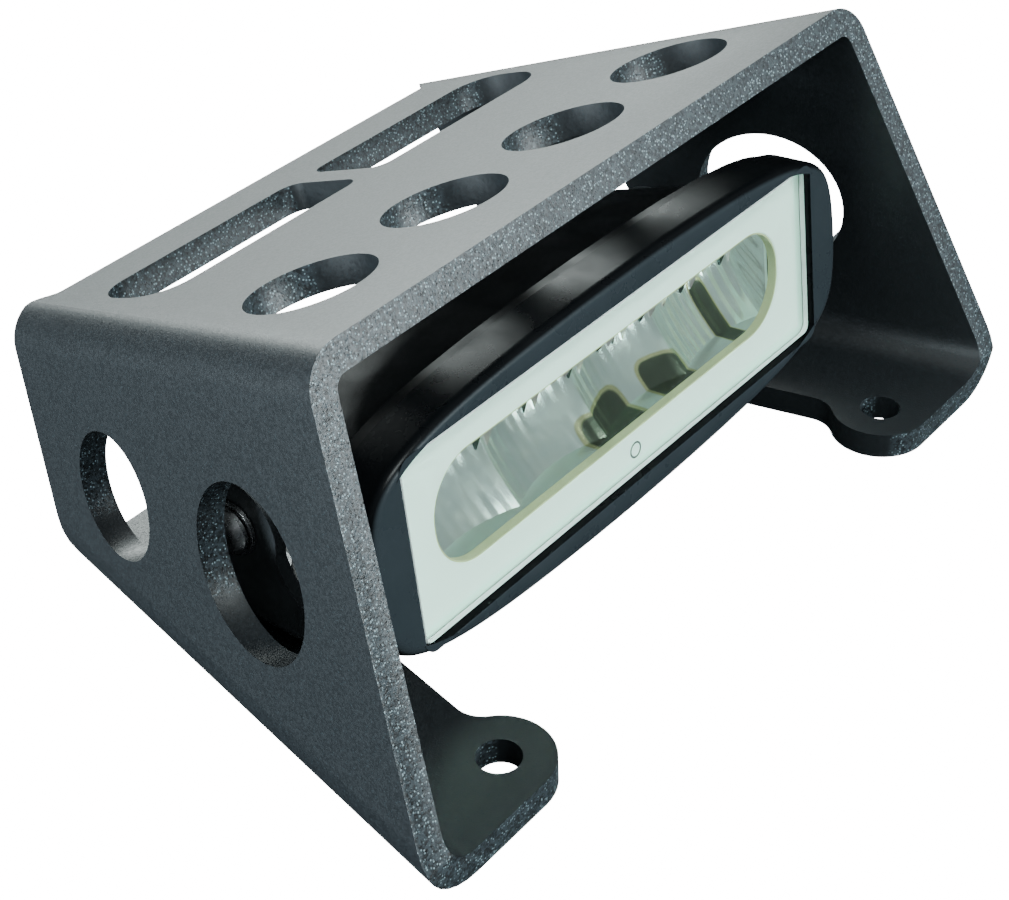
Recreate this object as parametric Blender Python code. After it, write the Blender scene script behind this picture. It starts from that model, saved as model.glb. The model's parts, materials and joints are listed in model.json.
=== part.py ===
"""Fog light in a bent plate guard.

One 6 mm plate is cut out and bent into a guard with two feet turned inward.
A U-shaped bracket bolts to the feet inside the guard and carries a slim LED
lamp, which tilts on two pivot bolts.

X runs across the lamp, the lamp faces -Y and Z = 0 is the underside of the
feet.  Left and right are as seen from in front, so right is +X.  A setback is
a distance behind the front edge of the feet.
"""

import math

import bmesh
import bpy
from mathutils import Vector

MM = 0.001
GAP = 0.3 * MM
TOUCHING = 0.01 * MM
SMOOTH_ANGLE = math.radians(30)
ROUND_STEPS = 24
HOLE_STEPS = 48
BEND_STEPS = 8
CORNER_STEPS = 5
PILLOW_STEPS = 14

X = Vector((1, 0, 0))
Y = Vector((0, 1, 0))
Z = Vector((0, 0, 1))
ORIGIN = Vector((0, 0, 0))
PLAN = (X, Y, Z)
FRONT = (X, Z, Y)
SIDE = (Y, Z, X)

# Guard plate
PLATE = 6.0 * MM
GUARD_HEIGHT = 93.3 * MM
TOP_SETBACK = 34.7 * MM
TOP_LENGTH = 105.5 * MM
TOP_WIDTH = 172.2 * MM
TOP_SLOPE = math.radians(20.2)
SIDE_TAPER = math.radians(9.5)
SIDE_SPLAY = math.radians(10.4)
SIDE_EXTRA = 5.5 * MM
STEP_IN = 57.0 * MM
STEP_OUT = 63.0 * MM
TOP_BEND_RADIUS = 3.0 * MM
FOOT_BEND_RADIUS = 7.0 * MM
FRONT_EDGE_HEIGHT = 9.0 * MM
HEEL_HEIGHT = 14.0 * MM
FLANGE_END = 116.1 * MM
GUARD_DEPTH = 138.67 * MM
GUARD_FRONT = -GUARD_DEPTH / 2
OVERCUT = 15.0 * MM
CUT_PAST = 2.0 * MM

# Guard holes
HOLE_PITCH = 37.5 * MM
ROUND_HOLE_RADIUS = 13.0 * MM
ROUND_HOLE_ROW = 28.4 * MM
SLOT_ROW = 78.7 * MM
SLOT_WIDTH = 22.4 * MM
SLOT_INNER = 3.0 * MM
SLOT_OUTER = 61.0 * MM
SLOT_INNER_RADIUS = 4.0 * MM
SLOT_OUTER_RADIUS = 9.0 * MM
LARGE_SIDE_HOLE = (32.8 * MM, 43.0 * MM, 17.6 * MM)
SMALL_SIDE_HOLE = (81.6 * MM, 35.2 * MM, 13.5 * MM)

# Feet
FOOT_HOLE_X = 69.6 * MM
EAR_RADIUS = 11.0 * MM
FOOT_HOLE_RADIUS = 4.5 * MM
STRIP_X = 63.2 * MM
STRIP_SETBACK = 30.3 * MM
STRIP_TAPER = 0.22
EAR_FILLET = 6.5 * MM
BLANK_EDGE = 30.0 * MM

# Pivot
PIVOT_SETBACK = 74.6 * MM
PIVOT_HEIGHT = 31.5 * MM
LAMP_LEAN = math.radians(5.3)
PIVOT_POINT = Vector((0, GUARD_FRONT + PIVOT_SETBACK, PIVOT_HEIGHT))

# M6 hardware
M6_RADIUS = 3.0 * MM
M6_HOLE = M6_RADIUS + GAP
CAP_HEAD_RADIUS = 5.0 * MM
CAP_HEAD_HEIGHT = 6.0 * MM
CAP_SOCKET = 2.5 * MM
CAP_CHAMFER = 0.4 * MM
TIP_CHAMFER = 0.5 * MM
BUTTON_HEAD_RADIUS = 5.25 * MM
BUTTON_HEAD_HEIGHT = 3.3 * MM
BUTTON_SOCKET = 2.0 * MM
BUTTON_SOCKET_DEPTH = 1.9 * MM
BUTTON_RIM_DROP = 2.4 * MM
BUTTON_SHOULDER = 0.9 * MM
BUTTON_CROWN_INSET = 2.3 * MM
M6_WASHER_RADIUS = 6.0 * MM
BASE_WASHER = 1.6 * MM
PIVOT_WASHER = 1.0 * MM

# Lamp bracket
BRACKET_PLATE = 3.0 * MM
BRACKET_BEND_RADIUS = 2.0 * MM
ARM_OUTER_X = 70.3 * MM
BRACKET_EAR_RADIUS = 10.8 * MM
BRACKET_EAR_START = math.radians(-20)
BRACKET_HALF_DEPTH = 20.0 * MM
BRACKET_SHOULDER = 15.2 * MM
WAIST_OUT = 0.8 * MM
WAIST_UP = 3.5 * MM
STRAP_BOTTOM = PLATE + GAP
STRAP_TOP = STRAP_BOTTOM + BRACKET_PLATE
BASE_BOLT_X = 58.8 * MM
BASE_BOLT_SETBACK = 81.0 * MM

# M3 hardware
M3_RADIUS = 1.5 * MM
M3_HOLE = M3_RADIUS + GAP
M3_HEAD_RADIUS = 2.7 * MM
M3_HEAD_HEIGHT = 2.4 * MM
M3_SOCKET = 1.25 * MM
M3_SOCKET_DEPTH = 1.2 * MM
M3_TIP_CHAMFER = 0.3 * MM
M3_CROWN_DROP = 1.0 * MM
M3_CROWN_INSET = 0.9 * MM

# Lamp, measured from the pivot with the lens axis level
LAMP_RISE = 5.8 * MM
LENS_FRONT = -44.2 * MM
LENS_HALF_WIDTH = 67.65 * MM
LENS_HALF_HEIGHT = 20.7 * MM
LENS_CORNER = 2.5 * MM
LENS_THICKNESS = 4.0 * MM
LENS_BEVEL = 0.6 * MM
BORDER_THICKNESS = 1.0 * MM
WINDOW_HALF_WIDTH = 58.3 * MM
WINDOW_HALF_HEIGHT = 12.3 * MM
WINDOW_RADIUS = 11.0 * MM
SEAL_THICKNESS = 1.4 * MM
SEAL_WIDTH = 3.5 * MM
BEZEL_PROUD = 1.0 * MM
BEZEL_HALF_WIDTH = 78.5 * MM
BEZEL_HALF_HEIGHT = 27.2 * MM
BEZEL_ROUND = 2.2 * MM
BEZEL_RIM = ((0, 2.4 * MM), (0.25, 1.0 * MM), (0.6, 0.3 * MM), (1, 0))
LEDGE_WIDTH = 4.15 * MM
LEDGE_THICKNESS = 2.0 * MM
PILLOW_POWER = 6
PILLOW_SIDE_BOW = 0.05
PILLOW_TOP_BOW = 0.14
FLANGE_THICKNESS = 3.0 * MM
FLANGE_INSET = 1.0 * MM
SHELL_SINK = 1.5 * MM
BODY_HALF_WIDTH = 70.0 * MM
BODY_HALF_HEIGHT = 21.5 * MM
TAIL_HALF_WIDTH = 52.0 * MM
TAIL_HALF_HEIGHT = 16.5 * MM
TAIL_END = 8.0 * MM
CAVITY_HALF_WIDTH = 67.5 * MM
CAVITY_HALF_HEIGHT = 19.2 * MM
CAVITY_TAIL_WIDTH = 57.5 * MM
CAVITY_TAIL_HEIGHT = 16.2 * MM
CAVITY_END = -9.0 * MM
POCKET_HALF_WIDTH = 40.0 * MM
POCKET_HALF_HEIGHT = 12.0 * MM
POCKET_START = -6.5 * MM
WIRE_HOLE_X = 35.0 * MM
WIRE_HOLE_RADIUS = 3.0 * MM
BOSS_RADIUS = 7.0 * MM
BOSS_START = 46.0 * MM
SPACER_THICKNESS = 1.7 * MM
PIVOT_BOLT_TIP = 52.0 * MM
BEZEL_SCREW_X = 73.7 * MM
BEZEL_SCREW_Z = 10.0 * MM
BEZEL_SCREW_LENGTH = 10.0 * MM

# Reflector and LEDs
BAY_PITCH = 29.0 * MM
REFLECTOR_HALF_WIDTH = 58.4 * MM
REFLECTOR_BOTTOM = -13.4 * MM
REFLECTOR_TOP = 12.3 * MM
REFLECTOR_BACK = -20.0 * MM
REFLECTOR_LIP = -36.4 * MM
REFLECTOR_SPREAD = 58.9 * MM
REFLECTOR_WALL = 1.0 * MM
REFLECTOR_COLUMNS = 32
REFLECTOR_ROWS = 8
BOARD_THICKNESS = 1.6 * MM
LED_BOARD_HALF_LENGTH = 49.0 * MM
LED_BOARD_FRONT = -34.0 * MM
LED_BOARD_REAR = -23.0 * MM
LED_SIZE = 5.0 * MM
LED_THICKNESS = 0.9 * MM
LED_Y = -31.3 * MM

# Driver electronics
DRIVER_HALF_LENGTH = 32.0 * MM
DRIVER_HALF_HEIGHT = 8.5 * MM
STANDOFF_X = 25.0 * MM
STANDOFF_RADIUS = 2.5 * MM
STANDOFF_HEIGHT = 1.5 * MM
CAPACITOR_X = -14.0 * MM
CAPACITOR_RADIUS = 4.0 * MM
CAPACITOR_LENGTH = 7.0 * MM
CAN_CHAMFER = 0.5 * MM
INDUCTOR_X = 10.0 * MM
INDUCTOR_SIZE = 9.0 * MM
INDUCTOR_HEIGHT = 5.5 * MM
INDUCTOR_CORNER = 1.5 * MM

# Rear cover
GASKET_THICKNESS = 0.8 * MM
GASKET_HALF_WIDTH = 43.2 * MM
GASKET_HALF_HEIGHT = 14.2 * MM
GASKET_WIDTH = 1.8 * MM
COVER_THICKNESS = 3.0 * MM
COVER_INSET = 1.0 * MM
COVER_CHAMFER = 0.8 * MM
COVER_SCREW_X = 46.6 * MM
COVER_SCREW_Z = 7.0 * MM
COVER_SCREW_LENGTH = 9.0 * MM
GLAND_X = 24.0 * MM
GLAND_THREAD = 5.0 * MM
GLAND_HEX = 7.0 * MM
GLAND_HEX_HEIGHT = 4.0 * MM
GLAND_BORE = 2.8 * MM
GLAND_NUT_HEIGHT = 8.0 * MM
GLAND_NUT_LIP = 1.6 * MM
GLAND_NUT_DOME = 2.0 * MM
GLAND_NUT_CROWN = 1.0 * MM
VENT_X = -26.0 * MM
VENT_RADIUS = 5.5 * MM
VENT_STEM = 2.4 * MM
VENT_HEIGHT = 3.0 * MM
VENT_CHAMFER = 1.0 * MM

# Places that follow from the sizes above
SLOPE = Vector((0, math.cos(TOP_SLOPE), -math.sin(TOP_SLOPE)))
TOP_NORMAL = Vector((0, math.sin(TOP_SLOPE), math.cos(TOP_SLOPE)))
TOP_FRONT = Vector((0, GUARD_FRONT + TOP_SETBACK, GUARD_HEIGHT))
TOP_CORNER = TOP_FRONT + X * (TOP_WIDTH / 2)
BEND_LINE = SLOPE * math.cos(SIDE_TAPER) - X * math.sin(SIDE_TAPER)
OUTWARD = X * math.cos(SIDE_TAPER) + SLOPE * math.sin(SIDE_TAPER)
SIDE_NORMAL = OUTWARD * math.cos(SIDE_SPLAY) + TOP_NORMAL * math.sin(SIDE_SPLAY)
SIDE_DOWN = OUTWARD * math.sin(SIDE_SPLAY) - TOP_NORMAL * math.cos(SIDE_SPLAY)
LAMP_AXIS = Vector((0, 0, LAMP_RISE))
BEZEL_FRONT = LENS_FRONT - BEZEL_PROUD
LENS_BACK = LENS_FRONT + LENS_THICKNESS
BORDER_FRONT = LENS_BACK + GAP
SEAL_FRONT = BORDER_FRONT + BORDER_THICKNESS + GAP
LEDGE_FRONT = SEAL_FRONT + SEAL_THICKNESS + GAP
BEZEL_BACK = LEDGE_FRONT + LEDGE_THICKNESS
FLANGE_FRONT = BEZEL_BACK + GAP
FLANGE_BACK = FLANGE_FRONT + FLANGE_THICKNESS
LED_BOARD_BOTTOM = REFLECTOR_TOP + GAP
SHELF_BOTTOM = LED_BOARD_BOTTOM + BOARD_THICKNESS + GAP
DRIVER_FRONT = POCKET_START + STANDOFF_HEIGHT + GAP
DRIVER_BACK = DRIVER_FRONT + BOARD_THICKNESS
COVER_FRONT = TAIL_END + GASKET_THICKNESS + 2 * GAP
COVER_BACK = COVER_FRONT + COVER_THICKNESS
SPACER_START = ARM_OUTER_X - BRACKET_PLATE - GAP - SPACER_THICKNESS
BOSS_END = SPACER_START - GAP
PIVOT_WASHER_START = ARM_OUTER_X + GAP
PIVOT_HEAD_START = PIVOT_WASHER_START + PIVOT_WASHER + GAP
BASE_WASHER_BOTTOM = STRAP_TOP + GAP
BASE_HEAD_BOTTOM = BASE_WASHER_BOTTOM + BASE_WASHER + GAP
BASE_BOLT_Y = GUARD_FRONT + BASE_BOLT_SETBACK

BLACK_POWDER = ((0.035, 0.037, 0.040), 0.2, 0.55)
SATIN_BLACK = ((0.022, 0.024, 0.028), 0.1, 0.40)
GLOSS_BLACK = ((0.018, 0.020, 0.024), 0.0, 0.18)
ZINC_STEEL = ((0.55, 0.56, 0.58), 1.0, 0.35)
CLEAR_GLASS = ((0.90, 0.96, 0.94), 0.0, 0.05)
MINT = ((0.66, 0.86, 0.76), 0.0, 0.25)
RUBBER = ((0.020, 0.020, 0.020), 0.0, 0.80)
MIRROR_METAL = ((0.85, 0.86, 0.87), 1.0, 0.12)
BOARD_GREEN = ((0.03, 0.16, 0.07), 0.0, 0.45)
PHOSPHOR = ((0.85, 0.80, 0.25), 0.0, 0.40)
NYLON = ((0.10, 0.10, 0.11), 0.0, 0.60)
CAN_ALUMINIUM = ((0.70, 0.71, 0.73), 1.0, 0.30)
FERRITE = ((0.09, 0.09, 0.10), 0.0, 0.70)


def clear_scene():
    """Remove every object the scene starts with."""
    for thing in list(bpy.data.objects):
        bpy.data.objects.remove(thing, do_unlink=True)


def circle(radius, count=ROUND_STEPS):
    """Return a round outline."""
    turns = [2 * math.pi * i / count for i in range(count)]
    return [(radius * math.cos(t), radius * math.sin(t)) for t in turns]


def hexagon(flat, count=ROUND_STEPS):
    """Return a hexagon with the same number of points as a round outline."""
    points = []
    for i in range(count):
        turn = 2 * math.pi * i / count
        offset = (turn + math.pi / 6) % (math.pi / 3) - math.pi / 6
        reach = flat / math.cos(offset)
        points.append((reach * math.cos(turn), reach * math.sin(turn)))
    return points


def arc(centre, radius, start, end, steps):
    """Return points along an arc between two angles."""
    points = []
    for i in range(steps + 1):
        turn = start + (end - start) * i / steps
        points.append((centre[0] + radius * math.cos(turn),
                       centre[1] + radius * math.sin(turn)))
    return points


def bow(start, pull, end, steps):
    """Return points along a smooth curve drawn towards one pull point."""
    points = []
    for i in range(steps + 1):
        t = i / steps
        points.append(tuple((1 - t) ** 2 * a + 2 * t * (1 - t) * b + t * t * c
                            for a, b, c in zip(start, pull, end)))
    return points


def rectangle(half_width, half_height, radius=0.0):
    """Return a rectangle, with rounded corners when a radius is given."""
    if not radius:
        return [(half_width, -half_height), (half_width, half_height),
                (-half_width, half_height), (-half_width, -half_height)]
    points = []
    for i, (sx, sy) in enumerate(((1, 1), (-1, 1), (-1, -1), (1, -1))):
        centre = (sx * (half_width - radius), sy * (half_height - radius))
        start = i * math.pi / 2
        points += arc(centre, radius, start, start + math.pi / 2, CORNER_STEPS)
    return points


def pillow(half_width, half_height):
    """Return the lamp's outline: a bowed rectangle with soft corners."""
    points = []
    for side in range(4):
        for i in range(PILLOW_STEPS):
            along = math.sin(math.pi / 2 * (2 * i / PILLOW_STEPS - 1))
            turn = math.atan2(along, 1) + side * math.pi / 2
            c, s = math.cos(turn), math.sin(turn)
            power = abs(c) ** PILLOW_POWER + abs(s) ** PILLOW_POWER
            u, v = c * power ** (-1 / PILLOW_POWER), s * power ** (-1 / PILLOW_POWER)
            points.append((half_width * u * (1 - PILLOW_SIDE_BOW * v * v),
                           half_height * v * (1 - PILLOW_TOP_BOW * u * u)))
    return points


def solid(name, points, faces):
    """Make one closed object from points and faces, facing outwards."""
    mesh = bpy.data.meshes.new(name)
    mesh.from_pydata([tuple(p) for p in points], [], faces)
    shape = bmesh.new()
    shape.from_mesh(mesh)
    bmesh.ops.recalc_face_normals(shape, faces=shape.faces)
    shape.to_mesh(mesh)
    shape.free()
    body = bpy.data.objects.new(name, mesh)
    bpy.context.collection.objects.link(body)
    return body


def stack(name, layers, axes, origin=ORIGIN, looped=False):
    """Join outlines of equal count, each at its own place along an axis."""
    across, up, along = axes
    points = []
    for outline, place in layers:
        points += [origin + across * u + up * v + along * place for u, v in outline]
    count = len(layers[0][0])
    rings = len(layers)
    faces = []
    for ring in range(rings if looped else rings - 1):
        low, high = ring * count, (ring + 1) % rings * count
        for i in range(count):
            j = (i + 1) % count
            faces.append((low + i, low + j, high + j, high + i))
    if not looped:
        faces.append(tuple(range(count)))
        faces.append(tuple(range((rings - 1) * count, rings * count)))
    return solid(name, points, faces)


def prism(name, outline, low, high, axes, origin=ORIGIN):
    """Stretch one outline between two places along an axis."""
    return stack(name, [(outline, low), (outline, high)], axes, origin)


def tube(name, outer, inner, low, high, axes, origin=ORIGIN):
    """Make a ring with an outer and an inner outline of equal count."""
    layers = [(outer, low), (outer, high), (inner, high), (inner, low)]
    return stack(name, layers, axes, origin, looped=True)


def settle(body):
    """Make the result of the body's modifiers its own mesh."""
    graph = bpy.context.evaluated_depsgraph_get()
    mesh = bpy.data.meshes.new_from_object(body.evaluated_get(graph))
    body.modifiers.clear()
    body.data = mesh


def combine(body, tool, operation):
    """Apply one Boolean with a tool to a body, and drop the tool."""
    modifier = body.modifiers.new(operation.title(), "BOOLEAN")
    modifier.operation = operation
    modifier.solver = "EXACT"
    modifier.object = tool
    settle(body)
    bpy.data.objects.remove(tool, do_unlink=True)


def cut(body, tool):
    """Cut a tool's shape out of a body."""
    combine(body, tool, "DIFFERENCE")


def join(body, tool):
    """Add a tool's shape to a body as one solid."""
    combine(body, tool, "UNION")


def finish(body, look, smooth=True):
    """Give a body its own material and its shading."""
    colour, metallic, roughness = look
    surface = bpy.data.materials.new(body.name + "_finish")
    surface.use_nodes = True
    shader = surface.node_tree.nodes["Principled BSDF"]
    shader.inputs["Base Color"].default_value = (*colour, 1)
    shader.inputs["Metallic"].default_value = metallic
    shader.inputs["Roughness"].default_value = roughness
    body.data.materials.clear()
    body.data.materials.append(surface)
    if smooth:
        body.data.shade_smooth()
        body.data.set_sharp_from_angle(angle=SMOOTH_ANGLE)
    return body


def mirrored(outline):
    """Return an outline's mirror image in X, run the other way."""
    return [(-u, v) for u, v in reversed(outline)]


def plane_meet(normal_a, point_a, normal_b, point_b, y):
    """Return the point at one depth where two planes cross."""
    a = normal_a.dot(point_a) - normal_a.y * y
    b = normal_b.dot(point_b) - normal_b.y * y
    scale = normal_a.x * normal_b.z - normal_a.z * normal_b.x
    return Vector(((a * normal_b.z - b * normal_a.z) / scale, y,
                   (normal_a.x * b - normal_b.x * a) / scale))


def guard_section(y):
    """Return the bent plate's sharp-cornered section at one depth."""
    top_inside = TOP_CORNER - TOP_NORMAL * PLATE
    side_inside = TOP_CORNER - SIDE_NORMAL * PLATE
    floor_inside = Z * PLATE
    outer = [Vector((BLANK_EDGE, y, 0)),
             plane_meet(SIDE_NORMAL, TOP_CORNER, Z, ORIGIN, y),
             plane_meet(TOP_NORMAL, TOP_CORNER, SIDE_NORMAL, TOP_CORNER, y)]
    inner = [plane_meet(TOP_NORMAL, top_inside, SIDE_NORMAL, side_inside, y),
             plane_meet(SIDE_NORMAL, side_inside, Z, floor_inside, y),
             Vector((BLANK_EDGE, y, PLATE))]
    flip = Vector((-1, 1, 1))
    return (outer + [multiply(p, flip) for p in reversed(outer)]
            + [multiply(p, flip) for p in reversed(inner)] + inner)


def round_bends(body, sections):
    """Round the eight long bend edges to matching inner and outer radii."""
    top_turn = math.acos(TOP_NORMAL.dot(SIDE_NORMAL))
    foot_turn = math.acos(-SIDE_NORMAL.z)
    bends = (((2, 3), TOP_BEND_RADIUS + PLATE, top_turn),
             ((8, 9), TOP_BEND_RADIUS, top_turn),
             ((1, 4), FOOT_BEND_RADIUS + PLATE, foot_turn),
             ((7, 10), FOOT_BEND_RADIUS, foot_turn))
    shape = bmesh.new()
    shape.from_mesh(body.data)
    for corners, radius, turn in bends:
        ends = [{tuple(sections[0][i]), tuple(sections[1][i])} for i in corners]
        edges = [e for e in shape.edges
                 if any(joins(e, pair) for pair in ends)]
        bmesh.ops.bevel(shape, geom=edges, offset=radius * math.tan(turn / 2),
                        offset_type="OFFSET", segments=BEND_STEPS, profile=0.5,
                        affect="EDGES")
    shape.to_mesh(body.data)
    shape.free()


def joins(edge, ends):
    """Tell whether an edge runs between two given points."""
    near = [any((v.co - Vector(end)).length < TOUCHING for v in edge.verts)
            for end in ends]
    return all(near)


def multiply(point, flip):
    """Return a point scaled part by part."""
    return Vector((point.x * flip.x, point.y * flip.y, point.z * flip.z))


def guard_profile():
    """Return the guard's trimmed outline seen from the side."""
    front = Vector((TOP_SETBACK, GUARD_HEIGHT))
    knee = Vector((0, FRONT_EDGE_HEIGHT))
    rise = (front - knee).normalized()
    back = Vector((-math.sin(TOP_SLOPE), -math.cos(TOP_SLOPE)))
    reach = TOP_LENGTH + SIDE_EXTRA
    rear = front + Vector((math.cos(TOP_SLOPE), -math.sin(TOP_SLOPE))) * reach
    heel = rear + back * ((HEEL_HEIGHT - rear.y) / back.y)
    pull = heel + back * (HEEL_HEIGHT / 2)
    points = [Vector((0, -OVERCUT)), knee, front + rise * OVERCUT, rear - back * OVERCUT]
    points += [Vector(p) for p in bow(heel, pull, (FLANGE_END, 0), BEND_STEPS)]
    points.append(Vector((FLANGE_END, -OVERCUT)))
    return [(GUARD_FRONT + p.x, p.y) for p in points]


def step_outline():
    """Return the strip taken off the top's back edge between the sides."""
    half = []
    for i in range(BEND_STEPS + 1):
        t = i / BEND_STEPS
        ease = t * t * (3 - 2 * t)
        half.append((STEP_IN + (STEP_OUT - STEP_IN) * t, TOP_LENGTH + SIDE_EXTRA * ease))
    half.append((STEP_OUT, TOP_LENGTH + SIDE_EXTRA + OVERCUT))
    return half + mirrored(half)


def slot_outline():
    """Return the right slot, squarer at its inner end than at its outer."""
    half = SLOT_WIDTH / 2
    outer, inner = SLOT_OUTER_RADIUS, SLOT_INNER_RADIUS
    right, left = SLOT_OUTER - outer, SLOT_INNER + inner
    quarter = math.pi / 2
    return (arc((right, SLOT_ROW - half + outer), outer, -quarter, 0, BEND_STEPS)
            + arc((right, SLOT_ROW + half - outer), outer, 0, quarter, BEND_STEPS)
            + arc((left, SLOT_ROW + half - inner), inner, quarter, 2 * quarter, BEND_STEPS)
            + arc((left, SLOT_ROW - half + inner), inner, 2 * quarter, 3 * quarter,
                  BEND_STEPS))


def foot_gap_outline():
    """Return the open space between the feet, rounded about both ears."""
    ear = Vector((FOOT_HOLE_X, EAR_RADIUS))
    along = Vector((-STRIP_TAPER, 1)).normalized()
    inward = Vector((-along.y, along.x))
    start = Vector((STRIP_X, STRIP_SETBACK)) + inward * EAR_FILLET
    lean = along.dot(start - ear)
    reach = EAR_RADIUS + EAR_FILLET
    run = -lean + math.sqrt(lean ** 2 - (start - ear).length_squared + reach ** 2)
    centre = start + along * run
    turn = math.atan2(centre.y - ear.y, centre.x - ear.x)
    half = [Vector((FOOT_HOLE_X, -OVERCUT))]
    half += arc(ear, EAR_RADIUS, -math.pi / 2, turn - 2 * math.pi, 2 * BEND_STEPS)
    half += arc(centre, EAR_FILLET, turn - math.pi,
                math.atan2(-inward.y, -inward.x), BEND_STEPS)
    half.append(start - inward * EAR_FILLET + along * (GUARD_DEPTH + OVERCUT))
    half = [(p[0], GUARD_FRONT + p[1]) for p in half]
    return half + mirrored(half)


def build_guard():
    """Build the guard: bent plate, trimmed outline, holes and feet."""
    depths = (GUARD_FRONT - OVERCUT, GUARD_FRONT + GUARD_DEPTH + OVERCUT)
    sections = [guard_section(y) for y in depths]
    count = len(sections[0])
    faces = [(i, (i + 1) % count, count + (i + 1) % count, count + i) for i in range(count)]
    faces += [tuple(range(count)), tuple(range(count, 2 * count))]
    guard = solid("guard", sections[0] + sections[1], faces)
    round_bends(guard, sections)
    combine(guard, prism("trim", guard_profile(), -TOP_WIDTH, TOP_WIDTH, SIDE),
            "INTERSECT")
    top = (X, SLOPE, TOP_NORMAL)
    cut(guard, prism("step", step_outline(), -2 * PLATE, PLATE, top, TOP_FRONT))
    for i in range(4):
        origin = TOP_FRONT + X * (HOLE_PITCH * (i - 1.5)) + SLOPE * ROUND_HOLE_ROW
        cut(guard, prism("hole", circle(ROUND_HOLE_RADIUS, HOLE_STEPS),
                         -2 * PLATE, PLATE, top, origin))
    cut(guard, prism("slot", slot_outline(), -2 * PLATE, PLATE, top, TOP_FRONT))
    cut(guard, prism("slot", mirrored(slot_outline()), -2 * PLATE, PLATE, top, TOP_FRONT))
    for along, down, radius in (LARGE_SIDE_HOLE, SMALL_SIDE_HOLE):
        for hand in (-1, 1):
            flip = Vector((hand, 1, 1))
            origin = multiply(TOP_CORNER + BEND_LINE * along + SIDE_DOWN * down, flip)
            axes = tuple(multiply(a, flip) for a in (BEND_LINE, SIDE_DOWN, SIDE_NORMAL))
            cut(guard, prism("hole", circle(radius, HOLE_STEPS),
                             -2 * PLATE, PLATE, axes, origin))
    cut(guard, prism("gap", foot_gap_outline(), -PLATE, PLATE + CUT_PAST, PLAN))
    for hand in (-1, 1):
        mount = Vector((hand * FOOT_HOLE_X, GUARD_FRONT + EAR_RADIUS, 0))
        cut(guard, prism("hole", circle(FOOT_HOLE_RADIUS), -PLATE, 2 * PLATE, PLAN, mount))
        bolt = Vector((hand * BASE_BOLT_X, BASE_BOLT_Y, 0))
        cut(guard, prism("hole", circle(M6_HOLE), -PLATE, 2 * PLATE, PLAN, bolt))
    return finish(guard, BLACK_POWDER)


def bracket_section():
    """Return the bracket's U-shaped section seen from in front."""
    top = PIVOT_HEIGHT + 2 * BRACKET_EAR_RADIUS
    inside = ARM_OUTER_X - BRACKET_PLATE
    outer_radius = BRACKET_BEND_RADIUS + BRACKET_PLATE
    quarter = math.pi / 2
    outer = arc((ARM_OUTER_X - outer_radius, STRAP_BOTTOM + outer_radius),
                outer_radius, -quarter, 0, BEND_STEPS)
    inner = arc((inside - BRACKET_BEND_RADIUS, STRAP_TOP + BRACKET_BEND_RADIUS),
                BRACKET_BEND_RADIUS, 0, -quarter, BEND_STEPS)
    half = outer + [(ARM_OUTER_X, top), (inside, top)] + inner
    return half + mirrored(half)


def arm_outline():
    """Return the bracket seen from the side: round ears on a wide foot."""
    ear = arc((0, 0), BRACKET_EAR_RADIUS, BRACKET_EAR_START, math.pi / 2, 2 * BEND_STEPS)
    shoulder = (BRACKET_HALF_DEPTH, -BRACKET_SHOULDER)
    pull = (BRACKET_EAR_RADIUS + WAIST_OUT, -BRACKET_SHOULDER + WAIST_UP)
    half = [(BRACKET_HALF_DEPTH, -PIVOT_HEIGHT)]
    half += bow(shoulder, pull, ear[0], BEND_STEPS) + ear[1:]
    outline = half + mirrored(half[:-1])
    return [(PIVOT_POINT.y + u, PIVOT_HEIGHT + v) for u, v in outline]


def build_bracket():
    """Build the bracket that holds the lamp between its two arms."""
    reach = BRACKET_HALF_DEPTH + PLATE
    bracket = prism("lamp_bracket", bracket_section(), PIVOT_POINT.y - reach,
                    PIVOT_POINT.y + reach, FRONT)
    combine(bracket, prism("trim", arm_outline(), -TOP_WIDTH, TOP_WIDTH, SIDE),
            "INTERSECT")
    cut(bracket, prism("hole", circle(M6_HOLE), -TOP_WIDTH, TOP_WIDTH, SIDE, PIVOT_POINT))
    for hand in (-1, 1):
        origin = Vector((hand * BASE_BOLT_X, BASE_BOLT_Y, STRAP_BOTTOM))
        cut(bracket, prism("hole", circle(M6_HOLE), -PLATE, 2 * PLATE, PLAN, origin))
    return finish(bracket, SATIN_BLACK)


def build_base_hardware():
    """Build the two cap bolts and washers that hold the bracket down."""
    for hand, side in ((-1, "left"), (1, "right")):
        origin = Vector((hand * BASE_BOLT_X, BASE_BOLT_Y, 0))
        top = BASE_HEAD_BOTTOM + CAP_HEAD_HEIGHT
        layers = [(circle(M6_RADIUS - TIP_CHAMFER), GAP),
                  (circle(M6_RADIUS), GAP + TIP_CHAMFER),
                  (circle(M6_RADIUS), BASE_HEAD_BOTTOM),
                  (circle(CAP_HEAD_RADIUS), BASE_HEAD_BOTTOM),
                  (circle(CAP_HEAD_RADIUS), top - CAP_CHAMFER),
                  (circle(CAP_HEAD_RADIUS - CAP_CHAMFER), top),
                  (hexagon(CAP_SOCKET), top),
                  (hexagon(CAP_SOCKET), top - CAP_HEAD_HEIGHT / 2)]
        finish(stack("bracket_bolt_" + side, layers, PLAN, origin), ZINC_STEEL)
        washer = tube("bracket_washer_" + side, circle(M6_WASHER_RADIUS), circle(M6_HOLE),
                      BASE_WASHER_BOTTOM, BASE_WASHER_BOTTOM + BASE_WASHER, PLAN, origin)
        finish(washer, ZINC_STEEL)


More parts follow.
